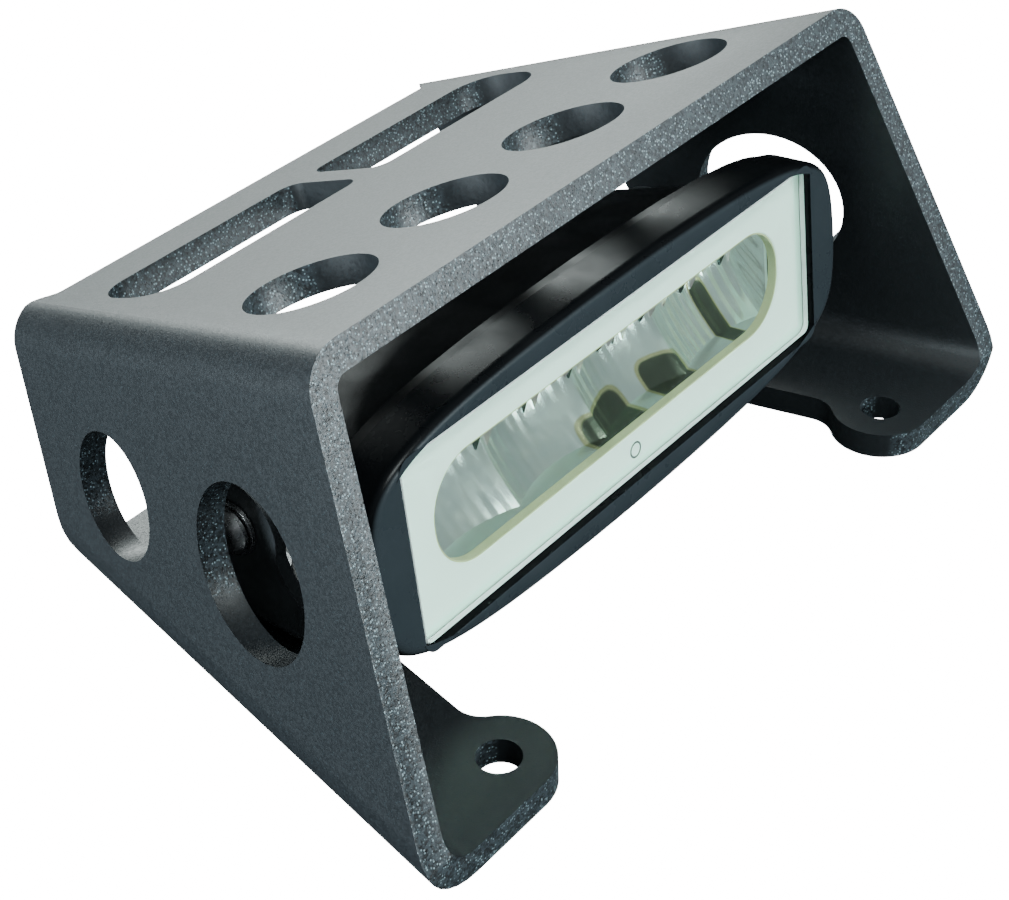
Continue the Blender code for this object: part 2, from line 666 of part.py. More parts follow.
def build_housing():
    """Build the lamp's cast body: flange, shell, bosses, cavity and pocket."""
    flange = pillow(BEZEL_HALF_WIDTH - FLANGE_INSET, BEZEL_HALF_HEIGHT - FLANGE_INSET)
    housing = prism("housing", flange, FLANGE_FRONT, FLANGE_BACK, FRONT, LAMP_AXIS)
    body = pillow(BODY_HALF_WIDTH, BODY_HALF_HEIGHT)
    tail = pillow(TAIL_HALF_WIDTH, TAIL_HALF_HEIGHT)
    join(housing, stack("shell", [(body, FLANGE_BACK - SHELL_SINK), (body, FLANGE_BACK),
                                  (tail, TAIL_END)], FRONT, LAMP_AXIS))
    for hand in (-1, 1):
        join(housing, prism("boss", circle(BOSS_RADIUS, HOLE_STEPS), BOSS_START, BOSS_END,
                            (Y, Z, X * hand)))
    cut(housing, cavity_tool())
    pocket = pillow(POCKET_HALF_WIDTH, POCKET_HALF_HEIGHT)
    cut(housing, prism("pocket", pocket, POCKET_START, TAIL_END + PLATE, FRONT, LAMP_AXIS))
    cut(housing, prism("wires", circle(WIRE_HOLE_RADIUS), CAVITY_END - PLATE,
                       POCKET_START + PLATE, FRONT, LAMP_AXIS + X * WIRE_HOLE_X))
    for hand in (-1, 1):
        standoff = LAMP_AXIS + X * (hand * STANDOFF_X)
        join(housing, prism("standoff", circle(STANDOFF_RADIUS), POCKET_START - MM,
                            POCKET_START + STANDOFF_HEIGHT, FRONT, standoff))
        cut(housing, prism("hole", circle(M6_HOLE), PIVOT_BOLT_TIP - MM, ARM_OUTER_X,
                           (Y, Z, X * hand)))
    for place in corner_places(BEZEL_SCREW_X, BEZEL_SCREW_Z):
        cut(housing, prism("hole", circle(M3_HOLE), FLANGE_FRONT - PLATE,
                           FLANGE_BACK + PLATE, FRONT, place))
    for place in corner_places(COVER_SCREW_X, COVER_SCREW_Z):
        depth = COVER_FRONT - COVER_SCREW_LENGTH
        cut(housing, prism("hole", circle(M3_HOLE), depth, TAIL_END + PLATE, FRONT, place))
    return finish(housing, SATIN_BLACK)


def cavity_tool():
    """Return the shape of the front cavity, less the LED board's shelf."""
    front = pillow(CAVITY_HALF_WIDTH, CAVITY_HALF_HEIGHT)
    back = pillow(CAVITY_TAIL_WIDTH, CAVITY_TAIL_HEIGHT)
    tool = stack("cavity", [(front, FLANGE_FRONT - PLATE), (front, FLANGE_FRONT + MM),
                            (back, CAVITY_END)], FRONT, LAMP_AXIS)
    half = LED_BOARD_HALF_LENGTH + GAP
    shelf = [(-half, SHELF_BOTTOM), (half, SHELF_BOTTOM),
             (half, BODY_HALF_HEIGHT), (-half, BODY_HALF_HEIGHT)]
    cut(tool, prism("shelf", shelf, LED_BOARD_FRONT - GAP, LED_BOARD_REAR + GAP, FRONT,
                    LAMP_AXIS))
    return tool


def corner_places(x, z):
    """Return four points about the lens axis, right top first."""
    return [LAMP_AXIS + X * (sx * x) + Z * (sz * z)
            for sx, sz in ((1, 1), (-1, 1), (-1, -1), (1, -1))]


def build_bezel():
    """Build the bezel, with a pocket that holds the lens against a ledge."""
    rim = [(0, BEZEL_BACK)] + [(inset, BEZEL_FRONT + drop) for inset, drop in BEZEL_RIM]
    layers = [(pillow(BEZEL_HALF_WIDTH - BEZEL_ROUND * inset,
                      BEZEL_HALF_HEIGHT - BEZEL_ROUND * inset), place)
              for inset, place in rim]
    bezel = stack("bezel", layers, FRONT, LAMP_AXIS)
    pocket = rectangle(LENS_HALF_WIDTH + GAP, LENS_HALF_HEIGHT + GAP, LENS_CORNER)
    cut(bezel, prism("pocket", pocket, BEZEL_FRONT - PLATE, LEDGE_FRONT, FRONT, LAMP_AXIS))
    opening = rectangle(LENS_HALF_WIDTH - LEDGE_WIDTH, LENS_HALF_HEIGHT - LEDGE_WIDTH + GAP,
                        LENS_CORNER)
    cut(bezel, prism("opening", opening, LEDGE_FRONT - PLATE, BEZEL_BACK + PLATE, FRONT,
                     LAMP_AXIS))
    for place in corner_places(BEZEL_SCREW_X, BEZEL_SCREW_Z):
        tip = FLANGE_BACK + GAP - BEZEL_SCREW_LENGTH - GAP
        cut(bezel, prism("hole", circle(M3_HOLE), tip, BEZEL_BACK + PLATE, FRONT, place))
    return finish(bezel, GLOSS_BLACK)


def build_lens_stack():
    """Build the glass, the printed border behind it and its seal."""
    outer = rectangle(LENS_HALF_WIDTH, LENS_HALF_HEIGHT, LENS_CORNER)
    face = rectangle(LENS_HALF_WIDTH - LENS_BEVEL, LENS_HALF_HEIGHT - LENS_BEVEL,
                     LENS_CORNER - LENS_BEVEL)
    glass = stack("lens", [(outer, LENS_BACK), (outer, LENS_FRONT + LENS_BEVEL),
                           (face, LENS_FRONT)], FRONT, LAMP_AXIS)
    window = rectangle(WINDOW_HALF_WIDTH, WINDOW_HALF_HEIGHT, WINDOW_RADIUS)
    border = tube("lens_border", outer, window, BORDER_FRONT,
                  BORDER_FRONT + BORDER_THICKNESS, FRONT, LAMP_AXIS)
    inner = rectangle(LENS_HALF_WIDTH - SEAL_WIDTH, LENS_HALF_HEIGHT - SEAL_WIDTH, LENS_CORNER)
    seal = tube("lens_seal", outer, inner, SEAL_FRONT, SEAL_FRONT + SEAL_THICKNESS, FRONT,
                LAMP_AXIS)
    return [finish(glass, CLEAR_GLASS), finish(border, MINT), finish(seal, RUBBER)]


def reflector_depth(x, z):
    """Return the reflector's face: four bowls, each deepest under its LED."""
    bay = min(max(math.floor(x / BAY_PITCH) + 0.5, -1.5), 1.5)
    across = x - bay * BAY_PITCH
    reach = across ** 2 + (z - REFLECTOR_TOP) ** 2
    return max(REFLECTOR_BACK - reach / REFLECTOR_SPREAD, REFLECTOR_LIP)


def build_reflector():
    """Build the reflector as a thin shell of constant depth."""
    columns, rows = REFLECTOR_COLUMNS + 1, REFLECTOR_ROWS + 1
    points = []
    for thickness in (0, REFLECTOR_WALL):
        for row in range(rows):
            z = REFLECTOR_BOTTOM + (REFLECTOR_TOP - REFLECTOR_BOTTOM) * row / REFLECTOR_ROWS
            for column in range(columns):
                x = REFLECTOR_HALF_WIDTH * (2 * column / REFLECTOR_COLUMNS - 1)
                points.append(LAMP_AXIS + Vector((x, reflector_depth(x, z) + thickness, z)))
    back = rows * columns
    faces = []
    for row in range(REFLECTOR_ROWS):
        for column in range(REFLECTOR_COLUMNS):
            a = row * columns + column
            quad = (a, a + 1, a + 1 + columns, a + columns)
            faces += [quad, tuple(back + i for i in quad)]
    edge = list(range(columns))
    edge += [row * columns + columns - 1 for row in range(1, rows)]
    edge += [back - 1 - i for i in range(1, columns)]
    edge += [row * columns for row in range(rows - 2, 0, -1)]
    for i, a in enumerate(edge):
        b = edge[(i + 1) % len(edge)]
        faces.append((a, b, back + b, back + a))
    return finish(solid("reflector", points, faces), MIRROR_METAL)


def block(name, centre, size):
    """Make a plain block from its centre and its three sizes."""
    outline = rectangle(size[0] / 2, size[2] / 2)
    return prism(name, outline, -size[1] / 2, size[1] / 2, FRONT, centre)


def build_leds():
    """Build the LED board under its shelf and the four LEDs on it."""
    centre = Vector((0, (LED_BOARD_FRONT + LED_BOARD_REAR) / 2,
                     LED_BOARD_BOTTOM + BOARD_THICKNESS / 2))
    size = (2 * LED_BOARD_HALF_LENGTH, LED_BOARD_REAR - LED_BOARD_FRONT, BOARD_THICKNESS)
    parts = [finish(block("led_board", LAMP_AXIS + centre, size), BOARD_GREEN, False)]
    for i in range(4):
        place = Vector(((i - 1.5) * BAY_PITCH, LED_Y,
                        LED_BOARD_BOTTOM - GAP - LED_THICKNESS / 2))
        led = block("led_%d" % (i + 1), LAMP_AXIS + place, (LED_SIZE, LED_SIZE, LED_THICKNESS))
        parts.append(finish(led, PHOSPHOR, False))
    return parts


def build_driver():
    """Build the driver board and the two large parts on it."""
    size = (2 * DRIVER_HALF_LENGTH, BOARD_THICKNESS, 2 * DRIVER_HALF_HEIGHT)
    centre = LAMP_AXIS + Y * ((DRIVER_FRONT + DRIVER_BACK) / 2)
    board = finish(block("driver_board", centre, size), BOARD_GREEN, False)
    base = DRIVER_BACK + GAP
    layers = [(circle(CAPACITOR_RADIUS), base),
              (circle(CAPACITOR_RADIUS), base + CAPACITOR_LENGTH - CAN_CHAMFER),
              (circle(CAPACITOR_RADIUS - CAN_CHAMFER), base + CAPACITOR_LENGTH)]
    can = stack("driver_capacitor", layers, FRONT, LAMP_AXIS + X * CAPACITOR_X)
    coil = prism("driver_inductor", rectangle(INDUCTOR_SIZE / 2, INDUCTOR_SIZE / 2, INDUCTOR_CORNER),
                 base, base + INDUCTOR_HEIGHT, FRONT, LAMP_AXIS + X * INDUCTOR_X)
    return [board, finish(can, CAN_ALUMINIUM), finish(coil, FERRITE)]


def build_rear_cover():
    """Build the cover over the pocket and the gasket under it."""
    outer = pillow(GASKET_HALF_WIDTH, GASKET_HALF_HEIGHT)
    inner = pillow(GASKET_HALF_WIDTH - GASKET_WIDTH, GASKET_HALF_HEIGHT - GASKET_WIDTH)
    gasket = tube("rear_cover_gasket", outer, inner, TAIL_END + GAP,
                  TAIL_END + GAP + GASKET_THICKNESS, FRONT, LAMP_AXIS)
    half_width, half_height = TAIL_HALF_WIDTH - COVER_INSET, TAIL_HALF_HEIGHT - COVER_INSET
    layers = [(pillow(half_width, half_height), COVER_FRONT),
              (pillow(half_width, half_height), COVER_BACK - COVER_CHAMFER),
              (pillow(half_width - COVER_CHAMFER, half_height - COVER_CHAMFER),
               COVER_BACK)]
    cover = stack("rear_cover", layers, FRONT, LAMP_AXIS)
    openings = [(LAMP_AXIS + X * GLAND_X, GLAND_THREAD + GAP),
                (LAMP_AXIS + X * VENT_X, VENT_STEM + GAP)]
    openings += [(place, M3_HOLE) for place in corner_places(COVER_SCREW_X, COVER_SCREW_Z)]
    for place, radius in openings:
        cut(cover, prism("hole", circle(radius), COVER_FRONT - PLATE, COVER_BACK + PLATE,
                         FRONT, place))
    return [finish(gasket, RUBBER), finish(cover, SATIN_BLACK)]


def build_screw(name, seat, length, way, place):
    """Build one M3 button screw whose head sits on a face and points one way."""
    top = M3_HEAD_HEIGHT
    layers = [(circle(M3_RADIUS - M3_TIP_CHAMFER), -length),
              (circle(M3_RADIUS), -length + M3_TIP_CHAMFER),
              (circle(M3_RADIUS), 0),
              (circle(M3_HEAD_RADIUS), 0),
              (circle(M3_HEAD_RADIUS), top - M3_CROWN_DROP),
              (circle(M3_HEAD_RADIUS - M3_CROWN_INSET), top),
              (hexagon(M3_SOCKET), top),
              (hexagon(M3_SOCKET), top - M3_SOCKET_DEPTH)]
    screw = stack(name, layers, (X, Z, way), place + Y * seat)
    return finish(screw, ZINC_STEEL)


def build_screws():
    """Build the bezel's and the rear cover's screws, all driven from behind."""
    parts = []
    for i, place in enumerate(corner_places(BEZEL_SCREW_X, BEZEL_SCREW_Z)):
        parts.append(build_screw("bezel_screw_%d" % (i + 1), FLANGE_BACK + GAP,
                                 BEZEL_SCREW_LENGTH, Y, place))
    for i, place in enumerate(corner_places(COVER_SCREW_X, COVER_SCREW_Z)):
        parts.append(build_screw("rear_cover_screw_%d" % (i + 1), COVER_BACK + GAP,
                                 COVER_SCREW_LENGTH, Y, place))
    return parts


def build_gland():
    """Build the cable gland with its clamping nut, and the breather."""
    seat = COVER_BACK + GAP
    shoulder = seat + GLAND_HEX_HEIGHT
    nut_end = shoulder + GAP + GLAND_NUT_HEIGHT
    thread_end = nut_end - GLAND_NUT_LIP - GAP
    place = LAMP_AXIS + X * GLAND_X
    layers = [(circle(GLAND_THREAD), TAIL_END), (circle(GLAND_THREAD), seat),
              (hexagon(GLAND_HEX), seat), (hexagon(GLAND_HEX), shoulder),
              (circle(GLAND_THREAD), shoulder), (circle(GLAND_THREAD), thread_end),
              (circle(GLAND_BORE), thread_end), (circle(GLAND_BORE), TAIL_END)]
    gland = stack("cable_gland", layers, FRONT, place, looped=True)
    layers = [(hexagon(GLAND_HEX), shoulder + GAP), (hexagon(GLAND_HEX), nut_end - GLAND_NUT_DOME),
              (circle(GLAND_THREAD + GLAND_NUT_CROWN), nut_end), (circle(GLAND_BORE), nut_end),
              (circle(GLAND_BORE), nut_end - GLAND_NUT_LIP),
              (circle(GLAND_THREAD + GAP), nut_end - GLAND_NUT_LIP),
              (circle(GLAND_THREAD + GAP), shoulder + GAP)]
    nut = stack("gland_nut", layers, FRONT, place, looped=True)
    layers = [(circle(VENT_STEM), TAIL_END), (circle(VENT_STEM), seat),
              (circle(VENT_RADIUS), seat), (circle(VENT_RADIUS), seat + VENT_HEIGHT - VENT_CHAMFER),
              (circle(VENT_RADIUS - VENT_CHAMFER), seat + VENT_HEIGHT)]
    vent = stack("breather_vent", layers, FRONT, LAMP_AXIS + X * VENT_X)
    return [finish(gland, NYLON), finish(nut, NYLON), finish(vent, NYLON)]


def build_pivot_hardware():
    """Build the spacer, washer and button bolt on each side of the lamp."""
    parts = []
    for hand, side in ((-1, "left"), (1, "right")):
        axes = (Y, Z, X * hand)
        spacer = tube("pivot_spacer_" + side, circle(BOSS_RADIUS), circle(M6_HOLE),
                      SPACER_START, SPACER_START + SPACER_THICKNESS, axes)
        washer = tube("pivot_washer_" + side, circle(M6_WASHER_RADIUS), circle(M6_HOLE),
                      PIVOT_WASHER_START, PIVOT_WASHER_START + PIVOT_WASHER, axes)
        top = PIVOT_HEAD_START + BUTTON_HEAD_HEIGHT
        layers = [(circle(M6_RADIUS - TIP_CHAMFER), PIVOT_BOLT_TIP),
                  (circle(M6_RADIUS), PIVOT_BOLT_TIP + TIP_CHAMFER),
                  (circle(M6_RADIUS), PIVOT_HEAD_START),
                  (circle(BUTTON_HEAD_RADIUS), PIVOT_HEAD_START),
                  (circle(BUTTON_HEAD_RADIUS), top - BUTTON_RIM_DROP),
                  (circle(BUTTON_HEAD_RADIUS - BUTTON_SHOULDER), top - BUTTON_SHOULDER),
                  (circle(BUTTON_HEAD_RADIUS - BUTTON_CROWN_INSET), top),
                  (hexagon(BUTTON_SOCKET), top),
                  (hexagon(BUTTON_SOCKET), top - BUTTON_SOCKET_DEPTH)]
        bolt = stack("pivot_bolt_" + side, layers, axes)
        parts += [finish(spacer, NYLON), finish(washer, ZINC_STEEL), finish(bolt, ZINC_STEEL)]
    return parts


def build_lamp():
    """Build every piece that tilts, and hang it on the pivot axis."""
    parts = [build_housing(), build_bezel(), build_reflector()]
    parts += build_lens_stack() + build_leds() + build_driver() + build_rear_cover()
    parts += build_screws() + build_gland() + build_pivot_hardware()
    pivot = bpy.data.objects.new("lamp_pivot", None)
    bpy.context.collection.objects.link(pivot)
    pivot.location = PIVOT_POINT
    pivot.rotation_euler = (-LAMP_LEAN, 0, 0)
    for part in parts:
        part.parent = pivot


def main():
    """Build the whole fog light."""
    clear_scene()
    build_guard()
    build_bracket()
    build_base_hardware()
    build_lamp()
    bpy.context.view_layer.update()


main()
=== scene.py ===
"""Looks of a fog light: a slim LED lamp tilting inside a bent plate guard.

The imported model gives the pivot, the lens's middle and the nodes that are copied
with softened edges.  Each sub-assembly is a class that holds the sizes of what it
builds with numpy, and dresses its pieces with a finish.  X runs across the lamp,
the lamp faces -Y and Z = 0 is the underside of the guard's feet.  Lengths are
metres unless a name ends in _mm.
"""

import json
import logging
import math
from dataclasses import dataclass, field
from enum import Enum
from typing import Callable, Sequence

import bmesh
import bpy
import numpy as np
from mathutils import Matrix, Vector


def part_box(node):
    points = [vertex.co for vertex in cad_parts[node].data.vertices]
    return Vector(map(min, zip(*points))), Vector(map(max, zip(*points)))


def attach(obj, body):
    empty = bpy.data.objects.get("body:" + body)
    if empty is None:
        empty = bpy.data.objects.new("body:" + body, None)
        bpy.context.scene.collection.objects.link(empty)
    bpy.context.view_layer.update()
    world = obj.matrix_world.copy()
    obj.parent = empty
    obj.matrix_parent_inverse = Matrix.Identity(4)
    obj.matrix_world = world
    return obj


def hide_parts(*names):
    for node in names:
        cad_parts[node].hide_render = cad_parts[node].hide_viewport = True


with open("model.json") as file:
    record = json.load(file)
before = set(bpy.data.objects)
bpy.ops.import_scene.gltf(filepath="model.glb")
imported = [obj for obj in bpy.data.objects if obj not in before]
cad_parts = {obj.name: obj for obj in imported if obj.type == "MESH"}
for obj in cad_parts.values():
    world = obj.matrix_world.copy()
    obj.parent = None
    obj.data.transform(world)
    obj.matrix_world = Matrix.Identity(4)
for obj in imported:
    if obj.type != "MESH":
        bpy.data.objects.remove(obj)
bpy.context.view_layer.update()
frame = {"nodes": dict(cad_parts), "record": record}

MM = 0.001
GAP = 0.3 * MM
WELD = 0.002 * MM
CAD_WELD = 0.004 * MM
FLAT_ANGLE = math.radians(0.6)
SMOOTH_ANGLE = math.radians(32)
EDGE_ANGLE = math.radians(40)
LAMP_LEAN = math.radians(5.3)
LENS_RISE = 5.8 * MM
PILLOW_POWER = 6
SIDE_BOW = 0.05
TOP_BOW = 0.14
# Painted reflections of the LEDs: dark patches low in the bowls, by place across, height and half
# sizes in mm
PAINTED_LED_REFLECTIONS = ((4.0, 26.5, 8.0, 4.6), (25.0, 27.0, 5.5, 4.4), (48.0, 30.5, 2.4, 6.5))
Array = np.ndarray
Colour = tuple[float, float, float]
Outline = tuple[Array, Array]
Socket = bpy.types.NodeSocket
Value = Socket | float | Colour

logging.basicConfig(level=logging.INFO, format="%(message)s")
log = logging.getLogger("fog_light")


# ---------------------------------------------------------------- node helpers


@dataclass
class Graph:
    """A thin wrapper that adds and joins the nodes of one tree."""

    tree: bpy.types.NodeTree

    def add(self, kind: str, values: dict[str | int, Value] | None = None,
            **settings: object) -> bpy.types.Node:
        """Add a node.

        Args:
            kind: The node's type name.
            values: Values or sockets for its inputs, by name or place.
            settings: Properties set on the node itself.

        Returns:
            The new node.
        """
        node = self.tree.nodes.new(kind)
        for name, value in settings.items():
            setattr(node, name, value)
        for name, value in (values or {}).items():
            self.feed(node.inputs[name], value)
        return node

    def feed(self, socket: Socket, value: Value) -> None:
        """Link a socket to another, or set its own value.

        Args:
            socket: The input to fill.
            value: The socket or the value that fills it.
        """
        if isinstance(value, Socket):
            self.tree.links.new(value, socket)
        elif isinstance(value, tuple) and len(value) == 3 and socket.type == "RGBA":
            socket.default_value = (*value, 1.0)
        else:
            socket.default_value = value

    def math(self, operation: str, first: Value, second: Value = 0.5,
             clamp: bool = False) -> Socket:
        """Work one sum.

        Args:
            operation: The sum's name.
            first: Its first value.
            second: Its second value, where it has one.
            clamp: Whether the result is held between 0 and 1.

        Returns:
            The result.
        """
        node = self.add("ShaderNodeMath", {0: first, 1: second}, operation=operation)
        node.use_clamp = clamp
        return node.outputs[0]

    def ramp(self, value: Value, low: float, high: float, start: float = 0.0,
             end: float = 1.0) -> Socket:
        """Carry a value smoothly from one range to another.

        Args:
            value: The value.
            low: Where its range starts.
            high: Where its range ends.
            start: The result at the start.
            end: The result at the end.

        Returns:
            The result.
        """
        node = self.add("ShaderNodeMapRange", {0: value, 1: low, 2: high, 3: start, 4: end},
                        interpolation_type="SMOOTHSTEP")
        return node.outputs[0]

    def blend(self, mask: Value, first: Value, second: Value) -> Socket:
        """Mix two colours.

        Args:
            mask: How much of the second shows.
            first: The first colour.
            second: The second colour.

        Returns:
            The mixed colour.
        """
        node = self.add("ShaderNodeMix", data_type="RGBA")
        for socket, value in ((node.inputs[0], mask), (node.inputs[6], first),
                              (node.inputs[7], second)):
            self.feed(socket, value)
        return node.outputs[2]

    def noise(self, where: Socket, scale: float, detail: float = 3.0,
              roughness: float = 0.5) -> Socket:
        """Add a noise.

        Args:
            where: The place it is read at.
            scale: How many cells it has in a metre.
            detail: How many finer layers it has.
            roughness: How strong the finer layers are.

        Returns:
            The noise's value.
        """
        node = self.add("ShaderNodeTexNoise", {"Vector": where, "Scale": scale,
                                               "Detail": detail, "Roughness": roughness})
        return node.outputs["Fac"]

    def group(self, tree: bpy.types.NodeTree, **values: Value) -> bpy.types.Node:
        """Place a shared effect, with its inputs' values by name."""
        return self.add("ShaderNodeGroup", values, node_tree=tree)


def new_group(name: str, inputs: Sequence[tuple[str, str, float]],
              outputs: Sequence[tuple[str, str]]) -> tuple[bpy.types.NodeTree, Graph, dict, dict]:
    """Start a shared effect.

    Args:
        name: The group's name.
        inputs: Each input's name, socket type and first value.
        outputs: Each output's name and socket type.

    Returns:
        The tree, its graph, its inputs and its outputs by name.
    """
    tree = bpy.data.node_groups.new(name, "ShaderNodeTree")
    for label, kind, value in inputs:
        socket = tree.interface.new_socket(label, in_out="INPUT", socket_type=kind)
        if kind == "NodeSocketFloat":
            socket.default_value = value
    for label, kind in outputs:
        tree.interface.new_socket(label, in_out="OUTPUT", socket_type=kind)
    graph = Graph(tree)
    source = graph.add("NodeGroupInput")
    sink = graph.add("NodeGroupOutput")
    return tree, graph, dict(source.outputs.items()), dict(sink.inputs.items())


class Effects:
    """The shared effects, each built once."""

    def __init__(self) -> None:
        """Build every group."""
        self.speckle = self._speckle()
        self.grain = self._grain()
        self.dust = self._dust()

    def _speckle(self) -> bpy.types.NodeTree:
        """Powder grains: cells of random tone and height over a rolling surface."""
        tree, g, given, out = new_group(
            "powder_speckle",
            [("Place", "NodeSocketVector", 0), ("Cells", "NodeSocketFloat", 1900.0),
             ("Share", "NodeSocketFloat", 0.2)],
            [("Fleck", "NodeSocketFloat"), ("Tone", "NodeSocketFloat"),
             ("Height", "NodeSocketFloat")])
        cells = g.add("ShaderNodeTexVoronoi", {"Vector": given["Place"],
                                               "Scale": given["Cells"]})
        pick = g.add("ShaderNodeSeparateColor", {0: cells.outputs["Color"]})
        limit = g.math("SUBTRACT", 1.0, given["Share"])
        fleck = g.math("GREATER_THAN", pick.outputs[0], limit)
        middle = g.ramp(cells.outputs["Distance"], 0.55, 0.1)
        g.feed(out["Fleck"], g.math("MULTIPLY", fleck, middle))
        g.feed(out["Tone"], pick.outputs[1])
        roll = g.noise(given["Place"], 900.0, 2.0)
        lump = g.math("MULTIPLY", pick.outputs[2], middle)
        g.feed(out["Height"], g.math("ADD", roll, g.math("MULTIPLY", lump, 0.8)))
        return tree

    def _grain(self) -> bpy.types.NodeTree:
        """Fine grain: two sizes of noise added as a height and a tone."""
        tree, g, given, out = new_group(
            "fine_grain",
            [("Place", "NodeSocketVector", 0), ("Cells", "NodeSocketFloat", 2500.0)],
            [("Tone", "NodeSocketFloat"), ("Height", "NodeSocketFloat")])
        fine = g.add("ShaderNodeTexNoise", {"Vector": given["Place"],
                                            "Scale": given["Cells"], "Detail": 2.0})
        broad = g.noise(given["Place"], 90.0, 3.0)
        g.feed(out["Tone"], broad)
        g.feed(out["Height"], g.math("ADD", fine.outputs["Fac"],
                                     g.math("MULTIPLY", broad, 0.4)))
        return tree

    def _dust(self) -> bpy.types.NodeTree:
        """Thin dust: blotches that gather on faces turned upward."""
        tree, g, given, out = new_group(
            "thin_dust",
            [("Place", "NodeSocketVector", 0), ("Amount", "NodeSocketFloat", 0.2)],
            [("Mask", "NodeSocketFloat")])
        normal = g.add("ShaderNodeNewGeometry").outputs["Normal"]
        upward = g.add("ShaderNodeSeparateXYZ", {0: normal}).outputs[2]
        blotch = g.ramp(g.noise(given["Place"], 60.0, 5.0, 0.65), 0.40, 0.75)
        lying = g.math("MULTIPLY", blotch, g.ramp(upward, 0.1, 0.9, 0.25, 1.0))
        g.feed(out["Mask"], g.math("MULTIPLY", lying, given["Amount"], clamp=True))
        return tree


# ------------------------------------------------------------------- finishes


@dataclass(frozen=True)
class Finish:
    """A surface finish.  Each kind fills in a new material's nodes."""

    name: str = "finish"

    def make(self, effects: Effects) -> bpy.types.Material:
        """Make the finish as a material.

        Args:
            effects: The shared effects.

        Returns:
            The material.
        """
        surface = bpy.data.materials.new(self.name)
        surface.use_nodes = True
        graph = Graph(surface.node_tree)
        shader = surface.node_tree.nodes["Principled BSDF"]
        place = graph.add("ShaderNodeTexCoord").outputs["Object"]
        self.fill(graph, shader, place, effects)
        return surface

    def fill(self, g: Graph, shader: bpy.types.Node, place: Socket, effects: Effects) -> None:
        """Join this finish's nodes to the shader.

        Args:
            g: The material's graph.
            shader: Its shader.
            place: The object's own coordinates.
            effects: The shared effects.
        """
        raise NotImplementedError

    def bump(self, g: Graph, shader: bpy.types.Node, height: Socket, strength: Value,
             depth_mm: float) -> None:
        """Raise the surface by a height.

        Args:
            g: The material's graph.
            shader: Its shader.
            height: The height, from 0 to 1.
            strength: How much of it shows.
            depth_mm: How far a height of 1 stands out.
        """
        node = g.add("ShaderNodeBump", {"Height": height, "Strength": strength,
                                        "Distance": depth_mm * MM})
        g.feed(shader.inputs["Normal"], node.outputs[0])


@dataclass(frozen=True)
class PowderCoat(Finish):
    """Textured powder coat: a dark skin, pebbled, with a painted sheen on cut edges.

    The cut edges are the faces that look forward or back.  Their lighter colour and
    coarser bright flecks are painted sheen and glints, chosen by the faces' direction.
    """

    base: Colour = (0.014, 0.018, 0.021)
    fleck: Colour = (0.46, 0.62, 0.68)
    # Painted sheen colour of the cut edges
    cut_sheen: Colour = (0.034, 0.046, 0.054)
    cells: float = 2300.0
    cut_cells: float = 2000.0
    share: float = 0.16
    roughness: float = 0.43
    depth_mm: float = 0.07

    def fill(self, g: Graph, shader: bpy.types.Node, place: Socket, effects: Effects) -> None:
        """Join the two sizes of fleck, the painted sheen and glints on cut edges, the scuffs and
        the pebbled height.
        """
        normal = g.add("ShaderNodeTexCoord").outputs["Normal"]
        along = g.math("ABSOLUTE", g.add("ShaderNodeSeparateXYZ", {0: normal}).outputs[1])
        # Faces turned forward or back get a painted sheen: a lighter colour and coarse bright
        # flecks that paint glints
        edge = g.ramp(along, 0.62, 0.80)
        fine = g.group(effects.speckle, Place=place, Cells=self.cells, Share=self.share)
        coarse = g.group(effects.speckle, Place=place, Cells=self.cut_cells, Share=0.28)
        tone = g.ramp(fine.outputs["Tone"], 0.0, 1.0, 0.85, 1.15)
        rough_tone = g.ramp(coarse.outputs["Tone"], 0.0, 1.0, 0.15, 1.85)
        skin = self.scaled(g, self.base, tone)
        edge_sheen = self.scaled(g, self.cut_sheen, rough_tone)
        skin = g.blend(g.math("MULTIPLY", fine.outputs["Fleck"], 0.06), skin, self.fleck)
        edge_sheen = g.blend(coarse.outputs["Fleck"], edge_sheen, self.fleck)
        body = g.blend(edge, skin, edge_sheen)
        scuff = g.ramp(g.noise(place, 26.0, 6.0, 0.6), 0.52, 0.82, 0.0, 0.10)
        g.feed(shader.inputs["Base Color"], g.blend(scuff, body, (0.045, 0.055, 0.062)))
        g.feed(shader.inputs["Roughness"], g.ramp(fine.outputs["Tone"], 0.0, 1.0,
                                                  self.roughness - 0.04, self.roughness + 0.05))
        shine = g.ramp(fine.outputs["Fleck"], 0.0, 1.0, 0.95, 0.45)
        g.feed(shader.inputs["Specular IOR Level"], shine)
        height = g.add("ShaderNodeMix", {0: edge, 2: fine.outputs["Height"],
                                         3: coarse.outputs["Height"]}).outputs[0]
        self.bump(g, shader, height, g.ramp(edge, 0.0, 1.0, 0.26, 1.0), self.depth_mm)

    def scaled(self, g: Graph, colour: Colour, amount: Socket) -> Socket:
        """Return a colour made lighter or darker by a value."""
        return g.add("ShaderNodeVectorMath", {0: colour, "Scale": amount},
                     operation="SCALE").outputs[0]


